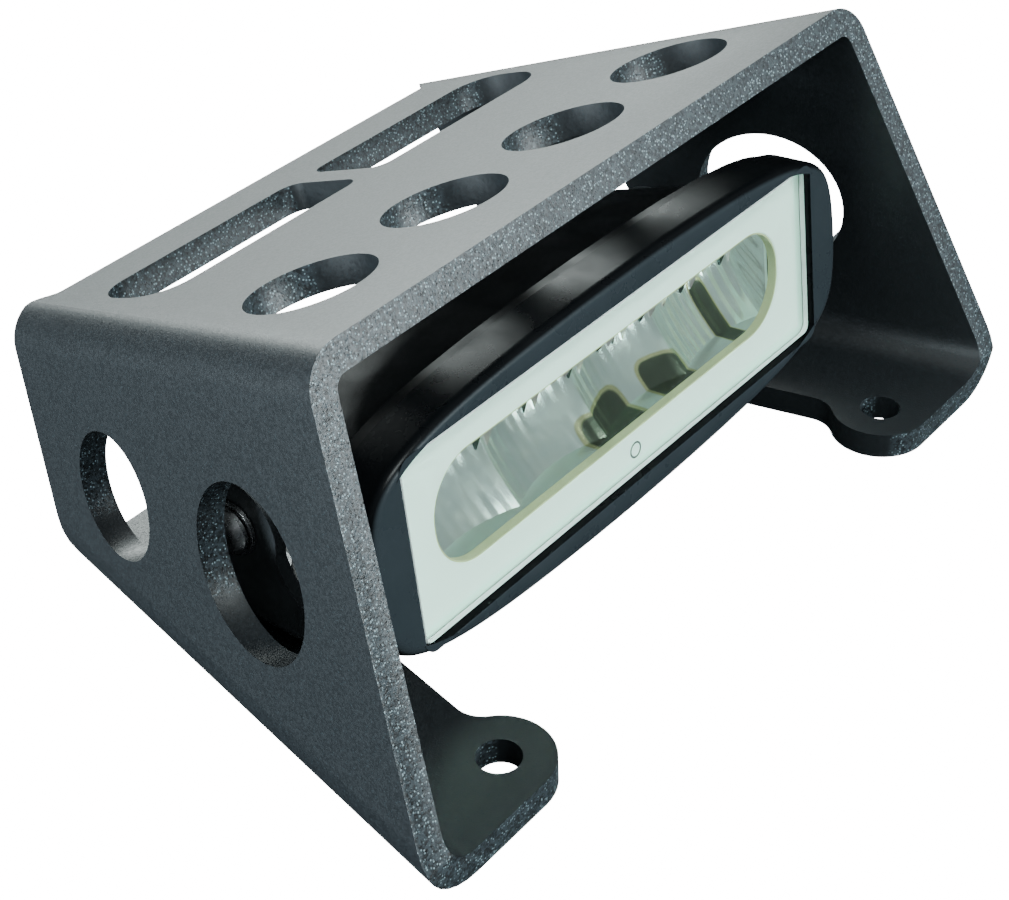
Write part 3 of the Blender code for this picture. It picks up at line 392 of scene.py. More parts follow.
@dataclass(frozen=True)
class SatinPaint(Finish):
    """Smooth satin paint over a casting or a pressing."""

    base: Colour = (0.020, 0.023, 0.027)
    roughness: float = 0.38
    shine: float = 0.5
    depth_mm: float = 0.03

    def fill(self, g: Graph, shader: bpy.types.Node, place: Socket, effects: Effects) -> None:
        """Join the grain and the dust."""
        grain = g.group(effects.grain, Place=place, Cells=1500.0)
        dust = g.group(effects.dust, Place=place, Amount=0.012).outputs[0]
        light = tuple(min(1.0, c * 1.7 + 0.004) for c in self.base)
        body = g.blend(g.ramp(grain.outputs["Tone"], 0.35, 0.7), self.base, light)
        g.feed(shader.inputs["Base Color"], g.blend(dust, body, (0.42, 0.41, 0.39)))
        rough = g.ramp(grain.outputs["Tone"], 0.3, 0.7, self.roughness - 0.06,
                       self.roughness + 0.10)
        g.feed(shader.inputs["Roughness"], rough)
        shader.inputs["Specular IOR Level"].default_value = self.shine
        self.bump(g, shader, grain.outputs["Height"], 0.30, self.depth_mm)


@dataclass(frozen=True)
class GlossMoulding(Finish):
    """Moulded plastic with a gloss skin, faint flow marks and a painted sheen that makes its
    front face paler.
    """

    # base is the front face's painted sheen colour, side the colour of every other face
    base: Colour = (0.032, 0.042, 0.049)
    side: Colour = (0.004, 0.005, 0.006)
    roughness: float = 0.30
    shine: float = 0.10

    def fill(self, g: Graph, shader: bpy.types.Node, place: Socket, effects: Effects) -> None:
        """Join the flow marks, the painted sheen on the front face and the smears that change the
        gloss.
        """
        grain = g.group(effects.grain, Place=place, Cells=420.0)
        dust = g.group(effects.dust, Place=place, Amount=0.008).outputs[0]
        light = tuple(c * 1.4 for c in self.base)
        front_sheen = g.blend(grain.outputs["Tone"], self.base, light)
        # Painted sheen: faces turned forward get the paler base colour, the rest the near-black
        # side colour
        facing = g.add("ShaderNodeTexCoord").outputs["Normal"]
        ahead = g.add("ShaderNodeSeparateXYZ", {0: facing}).outputs[1]
        body = g.blend(g.ramp(ahead, -0.70, -0.95), self.side, front_sheen)
        g.feed(shader.inputs["Base Color"], g.blend(dust, body, (0.40, 0.40, 0.39)))
        smear = g.ramp(g.noise(place, 45.0, 5.0, 0.6), 0.35, 0.7, self.roughness - 0.05,
                       self.roughness + 0.10)
        g.feed(shader.inputs["Roughness"], smear)
        shader.inputs["Specular IOR Level"].default_value = self.shine
        self.bump(g, shader, grain.outputs["Height"], 0.10, 0.03)


@dataclass(frozen=True)
class ClearGlass(Finish):
    """Clear glass that lets light through to what is behind it."""

    tint: Colour = (0.955, 0.992, 0.975)

    def fill(self, g: Graph, shader: bpy.types.Node, place: Socket, effects: Effects) -> None:
        """Join faint smears, and let shadow rays pass."""
        shader.inputs["Base Color"].default_value = (*self.tint, 1.0)
        shader.inputs["IOR"].default_value = 1.50
        shader.inputs["Metallic"].default_value = 0.0
        shader.inputs["Transmission Weight"].default_value = 1.0
        smear = g.ramp(g.noise(place, 38.0, 4.0, 0.6), 0.45, 0.8, 0.0, 0.035)
        g.feed(shader.inputs["Roughness"], smear)
        shadow = g.add("ShaderNodeLightPath").outputs["Is Shadow Ray"]
        g.feed(shader.inputs["Alpha"], g.ramp(shadow, 0.0, 1.0, 1.0, 0.06))


@dataclass(frozen=True)
class MintPrint(Finish):
    """Pale mint print, deeper and greener towards its ends and its foot, with a painted glow that
    lights it from within.
    """

    middle: Colour = (0.70, 0.97, 0.85)
    edge: Colour = (0.46, 0.80, 0.64)
    centre: tuple[float, float, float] = (0.0, 0.0, 0.0)
    half_width: float = 0.0677
    half_height: float = 0.0207
    painted_glow: float = 0.55

    def fill(self, g: Graph, shader: bpy.types.Node, place: Socket, effects: Effects) -> None:
        """Join the deeper ends and foot, a fine print grain and the painted glow."""
        split = g.add("ShaderNodeSeparateXYZ", {0: place})
        across = g.math("ABSOLUTE", split.outputs[0])
        side = g.ramp(across, self.half_width - 3.2 * MM, self.half_width - 1.2 * MM)
        low = g.ramp(split.outputs[2], self.centre[2] - self.half_height + 3.0 * MM,
                     self.centre[2] - self.half_height + 1.0 * MM)
        rim = g.math("MAXIMUM", side, low)
        grain = g.group(effects.grain, Place=place, Cells=3500.0)
        tone = g.blend(g.math("MULTIPLY", grain.outputs["Tone"], 0.25), self.middle,
                       (0.72, 0.88, 0.80))
        body = g.blend(g.math("MULTIPLY", rim, 0.75), tone, self.edge)
        g.feed(shader.inputs["Base Color"], body)
        # Painted light: the print glows with its own colour, though it is no lamp
        g.feed(shader.inputs["Emission Color"], body)
        shader.inputs["Emission Strength"].default_value = self.painted_glow
        g.feed(shader.inputs["Roughness"], g.ramp(grain.outputs["Height"], 0.3, 1.0, 0.3, 0.5))
        self.bump(g, shader, grain.outputs["Height"], 0.08, 0.02)


@dataclass(frozen=True)
class MirrorCoat(Finish):
    """Bright vacuum coat with slight ripples, a faint haze, any painted glow and any painted
    reflections of the LEDs.
    """

    tint: Colour = (0.80, 0.88, 0.85)
    roughness: float = 0.10
    painted_glow: float = 0.0
    painted_reflections: tuple[tuple[float, float, float, float], ...] = ()

    def fill(self, g: Graph, shader: bpy.types.Node, place: Socket, effects: Effects) -> None:
        """Join the haze, the painted reflections of the LEDs as dark patches with tinted rims,
        and the ripples.
        """
        haze = g.noise(place, 160.0, 4.0, 0.6)
        warm = tuple(c * k for c, k in zip(self.tint, (0.98, 0.95, 0.90)))
        tone = g.blend(g.ramp(haze, 0.35, 0.75), self.tint, warm)
        split = g.add("ShaderNodeSeparateXYZ", {0: place})
        # Each painted reflection of an LED: a yellow-green rim, then a dark middle
        for x, z, wide, high in self.painted_reflections:
            reach = g.math("ADD", self.fourth(g, split.outputs[0], x * MM, wide * MM),
                           self.fourth(g, split.outputs[2], z * MM, high * MM))
            tone = g.blend(g.ramp(reach, 1.9, 1.4, 0.0, 0.85), tone, (0.42, 0.46, 0.20))
            tone = g.blend(g.ramp(reach, 1.15, 0.75, 0.0, 0.92), tone, (0.045, 0.065, 0.055))
        g.feed(shader.inputs["Base Color"], tone)
        shader.inputs["Metallic"].default_value = 1.0
        g.feed(shader.inputs["Roughness"], g.ramp(haze, 0.3, 0.8, self.roughness,
                                                  self.roughness + 0.12))
        # Painted light: the coat glows with its own colour, though it is no lamp
        if self.painted_glow:
            g.feed(shader.inputs["Emission Color"], tone)
            shader.inputs["Emission Strength"].default_value = self.painted_glow
        self.bump(g, shader, g.noise(place, 420.0, 2.0), 0.15, 0.05)

    def fourth(self, g: Graph, value: Socket, middle: float, half: float) -> Socket:
        """Return the fourth power of a place's share of a half width."""
        share = g.math("DIVIDE", g.math("SUBTRACT", value, middle), half)
        return g.math("POWER", g.math("ABSOLUTE", share), 4.0)


@dataclass(frozen=True)
class PlatedSteel(Finish):
    """Plated steel: a bright skin with a fine grain and dull stains."""

    tint: Colour = (0.56, 0.57, 0.58)

    def fill(self, g: Graph, shader: bpy.types.Node, place: Socket, effects: Effects) -> None:
        """Join the stains and the grain."""
        grain = g.group(effects.grain, Place=place, Cells=4200.0)
        dull = tuple(c * 0.62 for c in self.tint)
        stain = g.ramp(g.noise(place, 380.0, 5.0, 0.65), 0.40, 0.70)
        g.feed(shader.inputs["Base Color"], g.blend(stain, self.tint, dull))
        shader.inputs["Metallic"].default_value = 1.0
        g.feed(shader.inputs["Roughness"], g.ramp(stain, 0.0, 1.0, 0.26, 0.46))
        self.bump(g, shader, grain.outputs["Height"], 0.20, 0.03)


@dataclass(frozen=True)
class SoftMoulding(Finish):
    """Matt rubber or nylon with a fine eroded grain."""

    base: Colour = (0.022, 0.022, 0.024)
    roughness: float = 0.68
    cells: float = 2600.0

    def fill(self, g: Graph, shader: bpy.types.Node, place: Socket, effects: Effects) -> None:
        """Join the grain and the dust that sits in it."""
        grain = g.group(effects.grain, Place=place, Cells=self.cells)
        dust = g.group(effects.dust, Place=place, Amount=0.03).outputs[0]
        light = tuple(c * 1.6 for c in self.base)
        body = g.blend(grain.outputs["Tone"], self.base, light)
        g.feed(shader.inputs["Base Color"], g.blend(dust, body, (0.36, 0.35, 0.33)))
        g.feed(shader.inputs["Roughness"], g.ramp(grain.outputs["Tone"], 0.3, 0.7,
                                                  self.roughness - 0.08, self.roughness + 0.1))
        self.bump(g, shader, grain.outputs["Height"], 0.30, 0.05)


@dataclass(frozen=True)
class BoardResist(Finish):
    """Circuit board: green resist over a grid of thin copper tracks."""

    base: Colour = (0.020, 0.130, 0.055)
    track: Colour = (0.045, 0.230, 0.090)

    def fill(self, g: Graph, shader: bpy.types.Node, place: Socket, effects: Effects) -> None:
        """Join the tracks, which are the joints of a brick pattern."""
        bricks = g.add("ShaderNodeTexBrick", {"Vector": place, "Scale": 260.0,
                                              "Mortar Size": 0.06})
        lines = bricks.outputs["Fac"]
        g.feed(shader.inputs["Base Color"], g.blend(lines, self.base, self.track))
        g.feed(shader.inputs["Roughness"], g.ramp(lines, 0.0, 1.0, 0.32, 0.45))
        self.bump(g, shader, lines, 0.25, 0.04)


@dataclass(frozen=True)
class Phosphor(Finish):
    """Yellow phosphor with a fine powder grain."""

    base: Colour = (0.90, 0.80, 0.22)

    def fill(self, g: Graph, shader: bpy.types.Node, place: Socket, effects: Effects) -> None:
        """Join the powder grain."""
        grain = g.group(effects.grain, Place=place, Cells=5200.0)
        pale = (0.96, 0.90, 0.48)
        body = g.blend(grain.outputs["Tone"], self.base, pale)
        g.feed(shader.inputs["Base Color"], body)
        g.feed(shader.inputs["Roughness"], g.ramp(grain.outputs["Height"], 0.3, 1.0, 0.3, 0.5))
        self.bump(g, shader, grain.outputs["Height"], 0.2, 0.02)


class Look(Enum):
    """The finishes by name, with the record's material slot of each."""

    GUARD = "guard_powder_coat"
    BRACKET = "bracket_satin_black"
    HOUSING = "housing_satin_black"
    BEZEL = "bezel_gloss_black"
    GLASS = "clear_glass"
    MINT = "mint_print"
    RUBBER = "black_rubber"
    MIRROR = "reflector_mirror"
    BOARD = "board_green"
    LED = "led_phosphor"
    CAN = "capacitor_can"
    FERRITE = "ferrite_black"
    NYLON = "black_nylon"
    ZINC = "zinc_steel"
    RIM = "mint_rim"
    PAINTED_GLINTS = "prism_facets"
    PAINTED_SHADE = "prism_gaps"
    MARK = "printed_mark"
    FROST_AND_HIGHLIGHT = "ground_edge"

    @property
    def slot(self) -> str:
        """Return the record's slot that the finish belongs to."""
        shared = {"mint_rim": "mint_print", "printed_mark": "mint_print",
                  "prism_facets": "reflector_mirror",
                  "prism_gaps": "reflector_mirror", "ground_edge": "clear_glass"}
        return shared.get(self.value, self.value)


class Paintbox:
    """Makes each finish once and hands it out."""

    def __init__(self, lens_centre: tuple[float, float, float]) -> None:
        """Make every finish around the lens's centre."""
        effects = Effects()
        kinds: dict[Look, Finish] = {
            Look.GUARD: PowderCoat("powder_coat"),
            Look.BRACKET: SatinPaint("bracket_paint", base=(0.055, 0.062, 0.067),
                                     roughness=0.5),
            Look.HOUSING: SatinPaint("housing_paint", base=(0.004, 0.0045, 0.005),
                                     roughness=0.34, shine=0.16),
            Look.BEZEL: GlossMoulding("bezel_moulding"),
            Look.GLASS: ClearGlass("lens_glass"),
            Look.MINT: MintPrint("border_print", centre=lens_centre),
            Look.RUBBER: SoftMoulding("rubber", base=(0.015, 0.015, 0.016), roughness=0.78),
            # The mirror's glow is painted light
            Look.MIRROR: MirrorCoat("mirror_coat", tint=(0.56, 0.73, 0.68), roughness=0.13,
                                    painted_glow=0.26, painted_reflections=PAINTED_LED_REFLECTIONS),
            Look.BOARD: BoardResist("board_resist"),
            Look.LED: Phosphor("phosphor"),
            Look.CAN: PlatedSteel("can_metal", tint=(0.72, 0.73, 0.75)),
            Look.FERRITE: SoftMoulding("ferrite", base=(0.05, 0.05, 0.055), roughness=0.7),
            Look.NYLON: SoftMoulding("nylon", base=(0.030, 0.030, 0.032), roughness=0.52),
            Look.ZINC: PlatedSteel("zinc_plate"),
            Look.RIM: SoftMoulding("rim_tint", base=(0.40, 0.46, 0.24), roughness=0.45),
            # Painted highlight and painted shade for the facet rows at the window's top
            Look.PAINTED_GLINTS: MirrorCoat("prism_coat", tint=(0.92, 0.98, 0.96), roughness=0.06,
                                   painted_glow=0.20),
            Look.PAINTED_SHADE: MirrorCoat("gap_coat", tint=(0.10, 0.14, 0.14), roughness=0.2),
            Look.MARK: SoftMoulding("mark_ink", base=(0.05, 0.07, 0.07), roughness=0.5),
            # Ground glass white: the sides' own frost, and on the bevel a painted highlight
            Look.FROST_AND_HIGHLIGHT: SoftMoulding("ground_glass", base=(0.86, 0.96, 0.93),
                                     roughness=0.35),
        }
        self.made = {look: kind.make(effects) for look, kind in kinds.items()}

    def dress(self, piece: bpy.types.Object, look: Look) -> None:
        """Give a piece one finish."""
        piece.data.materials.clear()
        piece.data.materials.append(self.made[look])


# -------------------------------------------------------------------- surfaces


def mesh_from_rings(name: str, rings: Array, looped: bool = False) -> bpy.types.Object:
    """Turn closed rings of points into a closed surface.

    Args:
        name: The piece's name.
        rings: Points in an array of rings by points by three.
        looped: True joins the last ring to the first; otherwise the two end
            rings are filled in as flat faces.

    Returns:
        The piece, at the origin.
    """
    count, around = rings.shape[:2]
    places = np.arange(count * around).reshape(count, around)
    nearer = places if looped else places[:-1]
    further = np.roll(places, -1, axis=0) if looped else places[1:]
    quads = np.stack([nearer, np.roll(nearer, -1, axis=1),
                      np.roll(further, -1, axis=1), further], axis=-1).reshape(-1, 4)
    faces = quads.tolist()
    if not looped:
        faces += [places[0].tolist(), places[-1].tolist()]
    return add_piece(name, rings.reshape(-1, 3), faces)


def mesh_from_shell(name: str, front: Array, back: Array) -> bpy.types.Object:
    """Turn two grids of points into one closed shell.

    Args:
        name: The piece's name.
        front: Rows by columns by three points of the face.
        back: The same grid for the back.

    Returns:
        The piece, at the origin.
    """
    rows, columns = front.shape[:2]
    index = np.arange(rows * columns).reshape(rows, columns)
    quads = np.stack([index[:-1, :-1], index[:-1, 1:], index[1:, 1:], index[1:, :-1]],
                     axis=-1).reshape(-1, 4)
    offset = rows * columns
    edge = np.concatenate([index[0], index[1:, -1], index[-1, -2::-1], index[-2:0:-1, 0]])
    walls = np.stack([edge, np.roll(edge, -1), np.roll(edge, -1) + offset, edge + offset],
                     axis=-1)
    faces = np.concatenate([quads, quads + offset, walls]).tolist()
    return add_piece(name, np.concatenate([front.reshape(-1, 3), back.reshape(-1, 3)]), faces)


def add_piece(name: str, points: Array, faces: list[list[int]]) -> bpy.types.Object:
    """Make a piece from points and faces, with its faces turned outwards.

    Args:
        name: The piece's name.
        points: Its points.
        faces: The points of each face.

    Returns:
        The piece, at the origin.
    """
    mesh = bpy.data.meshes.new(name)
    mesh.from_pydata(points.tolist(), [], faces)
    shape = bmesh.new()
    shape.from_mesh(mesh)
    bmesh.ops.remove_doubles(shape, verts=shape.verts, dist=WELD)
    bmesh.ops.recalc_face_normals(shape, faces=shape.faces)
    shape.to_mesh(mesh)
    shape.free()
    return smoothed(name, mesh)


def smoothed(name: str, mesh: bpy.types.Mesh) -> bpy.types.Object:
    """Put a mesh in the scene, smooth but for its sharper edges."""
    mesh.shade_smooth()
    mesh.set_sharp_from_angle(angle=SMOOTH_ANGLE)
    piece = bpy.data.objects.new(name, mesh)
    bpy.context.scene.collection.objects.link(piece)
    return piece


def refined(node: str, name: str, edge_mm: float, steps: int = 2) -> bpy.types.Object:
    """Copy a CAD node as a clean piece with softened edges.

    Args:
        node: The CAD node's name.
        name: The new piece's name.
        edge_mm: The width of the softened edges.
        steps: How many faces round each edge.

    Returns:
        The piece, at the origin.
    """
    shape = bmesh.new()
    shape.from_mesh(frame["nodes"][node].data)
    bmesh.ops.remove_doubles(shape, verts=shape.verts, dist=CAD_WELD)
    bmesh.ops.dissolve_limit(shape, angle_limit=FLAT_ANGLE, verts=shape.verts,
                             edges=shape.edges)
    mesh = bpy.data.meshes.new(name)
    shape.to_mesh(mesh)
    shape.free()
    piece = smoothed(name, mesh)
    if edge_mm:
        bevel = piece.modifiers.new("Edge", "BEVEL")
        bevel.width = edge_mm * MM
        bevel.segments = steps
        bevel.limit_method = "ANGLE"
        bevel.angle_limit = EDGE_ANGLE
        bevel.harden_normals = True
        bevel.use_clamp_overlap = True
    return piece


@dataclass(frozen=True)
class LampAxes:
    """The lamp's own axes: level with its lens, centred on the pivot."""

    pivot: Array
    lean: float
    rise: float

    def place(self, x: Array, y: Array, z: Array) -> Array:
        """Carry points from the lens axis into the row's frame.

        The lamp's axes are turned back about X by the lean, and the lens axis is
        raised above the pivot.

        Args:
            x: Places across.
            y: Places along the lens axis, the lens being at the negative end.
            z: Heights above the lens axis.

        Returns:
            The points, with a last axis of three.
        """
        c, s = math.cos(self.lean), math.sin(self.lean)
        x, y, z = np.broadcast_arrays(x, y, np.asarray(z) + self.rise)
        return np.stack([x + self.pivot[0], self.pivot[1] + y * c + z * s,
                         self.pivot[2] - y * s + z * c], axis=-1)


def pillow(width: float, height: float, count: int = 288) -> Outline:
    """Return the lamp's bowed outline.

    Points run round in four quarters, crowded towards the corners.  They lie on
    a square rounded by a sixth power, and each side then bows out in its middle.

    Args:
        width: Half the width.
        height: Half the height.
        count: How many points go round.

    Returns:
        The places across and the heights.
    """
    side, step = np.divmod(np.arange(count) * 4 / count, 1)
    turn = np.arctan(np.sin(np.pi / 2 * (2 * step - 1))) + side * np.pi / 2
    c, s = np.cos(turn), np.sin(turn)
    reach = (np.abs(c) ** PILLOW_POWER + np.abs(s) ** PILLOW_POWER) ** (-1 / PILLOW_POWER)
    u, v = c * reach, s * reach
    return width * u * (1 - SIDE_BOW * v * v), height * v * (1 - TOP_BOW * u * u)


def rounded(width: float, height: float, radius: float, x: Array, z: Array) -> Outline:
    """Return a rounded rectangle in the same directions as another outline.

    Each direction is run out to the rectangle's side, or in a corner to the
    corner's circle.

    Args:
        width: Half the width.
        height: Half the height.
        radius: The corners' radius.
        x: The other outline's places across.
        z: The other outline's heights.

    Returns:
        The places across and the heights.
    """
    length = np.hypot(x, z)
    c, s = np.abs(x) / length, np.abs(z) / length
    reach = np.minimum(width / np.maximum(c, 1e-9), height / np.maximum(s, 1e-9))
    inner_w, inner_h = width - radius, height - radius
    corner = (c * reach > inner_w) & (s * reach > inner_h)
    along = c * inner_w + s * inner_h
    root = np.maximum(along ** 2 - inner_w ** 2 - inner_h ** 2 + radius ** 2, 0)
    reach = np.where(corner, along + np.sqrt(root), reach)
    return x / length * reach, z / length * reach


def corner_ring(width: float, height: float, radius: float, steps: int = 14) -> Outline:
    """Return a rounded rectangle as four quarter circles.

    Args:
        width: Half the width.
        height: Half the height.
        radius: The corners' radius.
        steps: How many points are in each corner.

    Returns:
        The places across and the heights.
    """
    turn = np.linspace(0, np.pi / 2, steps)
    quarter = np.arange(4)[:, None]
    angle = turn + quarter * np.pi / 2
    sx = np.where((quarter == 0) | (quarter == 3), 1, -1)
    sz = np.where(quarter < 2, 1, -1)
    x = sx * (width - radius) + radius * np.cos(angle)
    z = sz * (height - radius) + radius * np.sin(angle)
    return x.reshape(-1), z.reshape(-1)


# ------------------------------------------------------------------ assemblies


@dataclass
class Assembly:
    """A group of pieces that share a paintbox."""

    paints: Paintbox
    pieces: list[bpy.types.Object] = field(default_factory=list)

    def keep(self, piece: bpy.types.Object, body: str, look: Look, *nodes: str) -> None:
        """Dress a piece, ride it on a body and hide the CAD nodes that it replaces.

        Args:
            piece: The new piece.
            body: The CAD body that it moves with.
            look: Its finish.
            nodes: The CAD nodes it stands for.
        """
        self.paints.dress(piece, look)
        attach(piece, body)
        if nodes:
            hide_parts(*nodes)
        self.pieces.append(piece)
        log.info("%s: %d faces", piece.name, len(piece.data.polygons))

    def refine(self, nodes: Sequence[str], body: str, look: Look, edge_mm: float) -> None:
        """Keep softened copies of CAD nodes in one finish.

        Args:
            nodes: The CAD nodes' names.
            body: The CAD body that they belong to.
            look: Their finish.
            edge_mm: The width of their softened edges.
        """
        for node in nodes:
            self.keep(refined(node, node + "_skin", edge_mm), body, look, node)


@dataclass
class Guard(Assembly):
    """The bent plate, the bracket bolted to it and the bolts."""

    plate_edge_mm: float = 0.45
    bracket_edge_mm: float = 0.35
    bolt_edge_mm: float = 0.15

    def build(self) -> None:
        """Build the plate, the bracket and the bolts."""
        self.refine(["guard"], "base", Look.GUARD, self.plate_edge_mm)
        self.refine(["lamp_bracket"], "base", Look.BRACKET, self.bracket_edge_mm)
        hardware = [kind + side for kind in ("bracket_bolt_", "bracket_washer_")
                    for side in ("left", "right")]
        self.refine(hardware, "base", Look.ZINC, self.bolt_edge_mm)


@dataclass
class LensStack(Assembly):
    """The bezel, the glass, the printed border and the seal."""

    axes: LampAxes | None = None
    bezel_width: float = 78.5 * MM
    bezel_height: float = 27.2 * MM
    bezel_round: float = 2.2 * MM
    bezel_depth: float = 10.3 * MM
    bezel_proud: float = 1.0 * MM
    shelf_depth: float = 8.3 * MM
    back_band: float = 1.2 * MM
    rim_steps: int = 9
    pocket_lead: tuple[tuple[float, float], ...] = ((0.5 * MM, 0.0), (0.15 * MM, 0.12 * MM),
                                                    (0.0, 0.5 * MM))
    lens_width: float = 67.65 * MM
    lens_height: float = 20.7 * MM
    lens_corner: float = 2.5 * MM
    lens_front: float = -44.2 * MM
    lens_thickness: float = 4.0 * MM
    lens_bevel: float = 0.75 * MM
    lens_break: float = 0.15 * MM
    window_width: float = 58.3 * MM
    window_height: float = 12.3 * MM
    window_corner: float = 11.6 * MM
    window_bevel: float = 0.2 * MM
    border_thickness: float = 1.0 * MM
    ledge: float = 4.15 * MM
    collar: float = 0.35 * MM
    collar_depth: float = 2.0 * MM
    collar_fit: float = 0.02 * MM
    teeth: int = 20
    tooth_steps: int = 12
    tooth_rows: int = 7
    teeth_left: float = 7.0 * MM
    teeth_right: float = 12.0 * MM
    teeth_in_group: float = 2.9
    group_middle: float = 0.62
    group_swing: float = 0.38
    tooth_least: float = 0.6 * MM
    tooth_most: float = 5.6 * MM
    tooth_lean: float = 1.2 * MM
    tooth_thickness: float = 0.5 * MM
    teeth_drop: float = 0.8 * MM
    painted_facet_front: float = -36.6 * MM
    mark_x: float = 2.7 * MM
    mark_z: float = -16.5 * MM
    mark_outer: float = 1.9 * MM
    mark_inner: float = 1.45 * MM
    mark_proud: float = 0.04 * MM
    mark_thickness: float = 0.06 * MM
    mark_steps: int = 48

    def build(self) -> None:
        """Build the seal, the bezel, what lies behind the glass, and the glass."""
        self.keep(refined("lens_seal", "lens_seal_skin", 0.2), "lamp", Look.RUBBER, "lens_seal")
        self.keep(self.bezel(), "lamp", Look.BEZEL, "bezel")
        self.keep(self.border(), "lamp", Look.MINT, "lens_border")
        self.keep(self.rim(), "lamp", Look.RIM)
        # Painted highlight: a pale glowing row of facets; painted shade: a dark copy half a facet
        # along, just behind it
        self.keep(self.painted_facet_row("prism_row", 0.0, 0.0), "lamp", Look.PAINTED_GLINTS)
        self.keep(self.painted_facet_row("prism_gaps", 0.5, 0.7 * MM), "lamp", Look.PAINTED_SHADE)
        self.keep(self.mark(), "lamp", Look.MARK)
        self.keep(self.glass(), "lamp", Look.GLASS, "lens")
        self.frost_and_highlight(self.pieces[-1])

    def bezel(self) -> bpy.types.Object:
        """Build the bezel: a round rim, a flat face and a stepped pocket.

        The rim is a quarter circle carried round the bowed outline, and every
        inner ring is a rounded rectangle seen in the same directions.
        """
        front = self.lens_front - self.bezel_proud
        back = front + self.bezel_depth
        shelf = front + self.shelf_depth
        quarter = np.linspace(0, np.pi / 2, self.rim_steps)
        inset = self.bezel_round * (1 - np.cos(quarter))
        rim_y = front + self.bezel_round * (1 - np.sin(quarter))
        x, z = pillow(self.bezel_width, self.bezel_height)
        rings = [((x, z), back), ((x, z), back - self.back_band)]
        rings += [(pillow(self.bezel_width - d, self.bezel_height - d), y)
                  for d, y in zip(inset, rim_y)]
        pocket_w, pocket_h = self.lens_width + GAP, self.lens_height + GAP
        radius = self.lens_corner + GAP
        for grow, deep in (*self.pocket_lead, (0.0, self.shelf_depth)):
            outline = rounded(pocket_w + grow, pocket_h + grow, radius + grow, x, z)
            rings.append((outline, front + deep))
        opening = (self.lens_width - self.ledge, self.lens_height - self.ledge + GAP)
        for y in (shelf, back):
            rings.append((rounded(*opening, radius, x, z), y))
        return self.lofted("bezel_shell", rings, looped=True)

    def glass(self) -> bpy.types.Object:
        """Build the glass: a slab with a bevelled front edge."""
        back = self.lens_front + self.lens_thickness
        w, h, r = self.lens_width, self.lens_height, self.lens_corner
        b, small = self.lens_bevel, self.lens_break
        rings = [(corner_ring(w - small, h - small, r - small), back),
                 (corner_ring(w, h, r), back - small),
                 (corner_ring(w, h, r), self.lens_front + b),
                 (corner_ring(w - b, h - b, r - b), self.lens_front)]
        return self.lofted("lens_glass", rings)

    def frost_and_highlight(self, glass: bpy.types.Object) -> None:
        """Frost the glass's ground sides and bevel, which are its four-sided faces; the white on
        the bevel also paints its bright highlight line.
        """
        glass.data.materials.append(self.paints.made[Look.FROST_AND_HIGHLIGHT])
        sides = np.zeros(len(glass.data.polygons), dtype=np.int32)
        glass.data.polygons.foreach_get("loop_total", sides)
        glass.data.polygons.foreach_set("material_index", (sides == 4).astype(np.int32))

    @property
    def border_front(self) -> float:
        """Return where the border's face lies, a gap behind the glass."""
        return self.lens_front + self.lens_thickness + GAP

    def border(self) -> bpy.types.Object:
        """Build the border: a thin plate with a rounded window."""
        front, bevel = self.border_front, self.window_bevel
        back = front + self.border_thickness
        outer = corner_ring(self.lens_width, self.lens_height, self.lens_corner)
        window = (self.window_width, self.window_height, self.window_corner)
        rings = [(outer, back), (outer, front),
                 (corner_ring(*(size + bevel for size in window)), front),
                 (corner_ring(*window), front + bevel), (corner_ring(*window), back)]
        return self.lofted("border_plate", rings, looped=True)

    def rim(self) -> bpy.types.Object:
        """Build the thin tinted collar that lines the window."""
        front = self.border_front + GAP
        back = front + self.collar_depth
        outer = [size - self.collar_fit for size in
                 (self.window_width, self.window_height, self.window_corner)]
        inner = [size - self.collar for size in outer]
        rings = [(corner_ring(*outer), back), (corner_ring(*outer), front),
                 (corner_ring(*inner), front), (corner_ring(*inner), back)]
        return self.lofted("window_rim", rings, looped=True)

    def painted_facet_row(self, name: str, phase: float, behind: float) -> bpy.types.Object:
        """Build a row of small facets that hangs from the window's top edge.

        The row is a thin sheet that carries painted light: a pale glowing row paints
        the highlights of the LED reflections there, and a dark copy paints the shade
        between them.  Across the row the lower edge follows a triangle wave of uneven
        depth, and the face leans to and fro with the same wave, so the facets catch
        the light in turn.

        Args:
            name: The row's name.
            phase: How much of a facet the row is moved along.
            behind: How far the row stands behind the first.

        Returns:
            The row.
        """
        x = np.linspace(self.teeth_left - self.window_width,
                        self.window_width - self.teeth_right,
                        self.tooth_steps * self.teeth + 1)
        down = np.linspace(0, 1, self.tooth_rows)[:, None]
        turn = (x - x[0]) / (x[-1] - x[0]) * self.teeth + phase
        wave = np.abs((turn % 1) - 0.5) * 2
        swing = np.cos(turn * 2 * np.pi / self.teeth_in_group)
        group = self.group_middle + self.group_swing * swing
        depth = self.tooth_least + self.tooth_most * wave * group
        z = self.window_height - self.teeth_drop - down * depth
        y = self.painted_facet_front + behind + self.tooth_lean * wave * down
        x = np.broadcast_to(x, z.shape)
        return mesh_from_shell(name, self.axes.place(x, y, z),
                               self.axes.place(x, y + self.tooth_thickness, z))

    def mark(self) -> bpy.types.Object:
        """Build a plain printed ring on the border: a band between two circles."""
        turn = np.linspace(0, 2 * np.pi, self.mark_steps, endpoint=False)
        front = self.border_front - self.mark_proud
        back = front + self.mark_thickness
        rings = []
        for radius, y in ((self.mark_outer, back), (self.mark_outer, front),
                          (self.mark_inner, front), (self.mark_inner, back)):
            rings.append(((self.mark_x + radius * np.cos(turn),
                           self.mark_z + radius * np.sin(turn)), y))
        return self.lofted("print_mark", rings, looped=True)

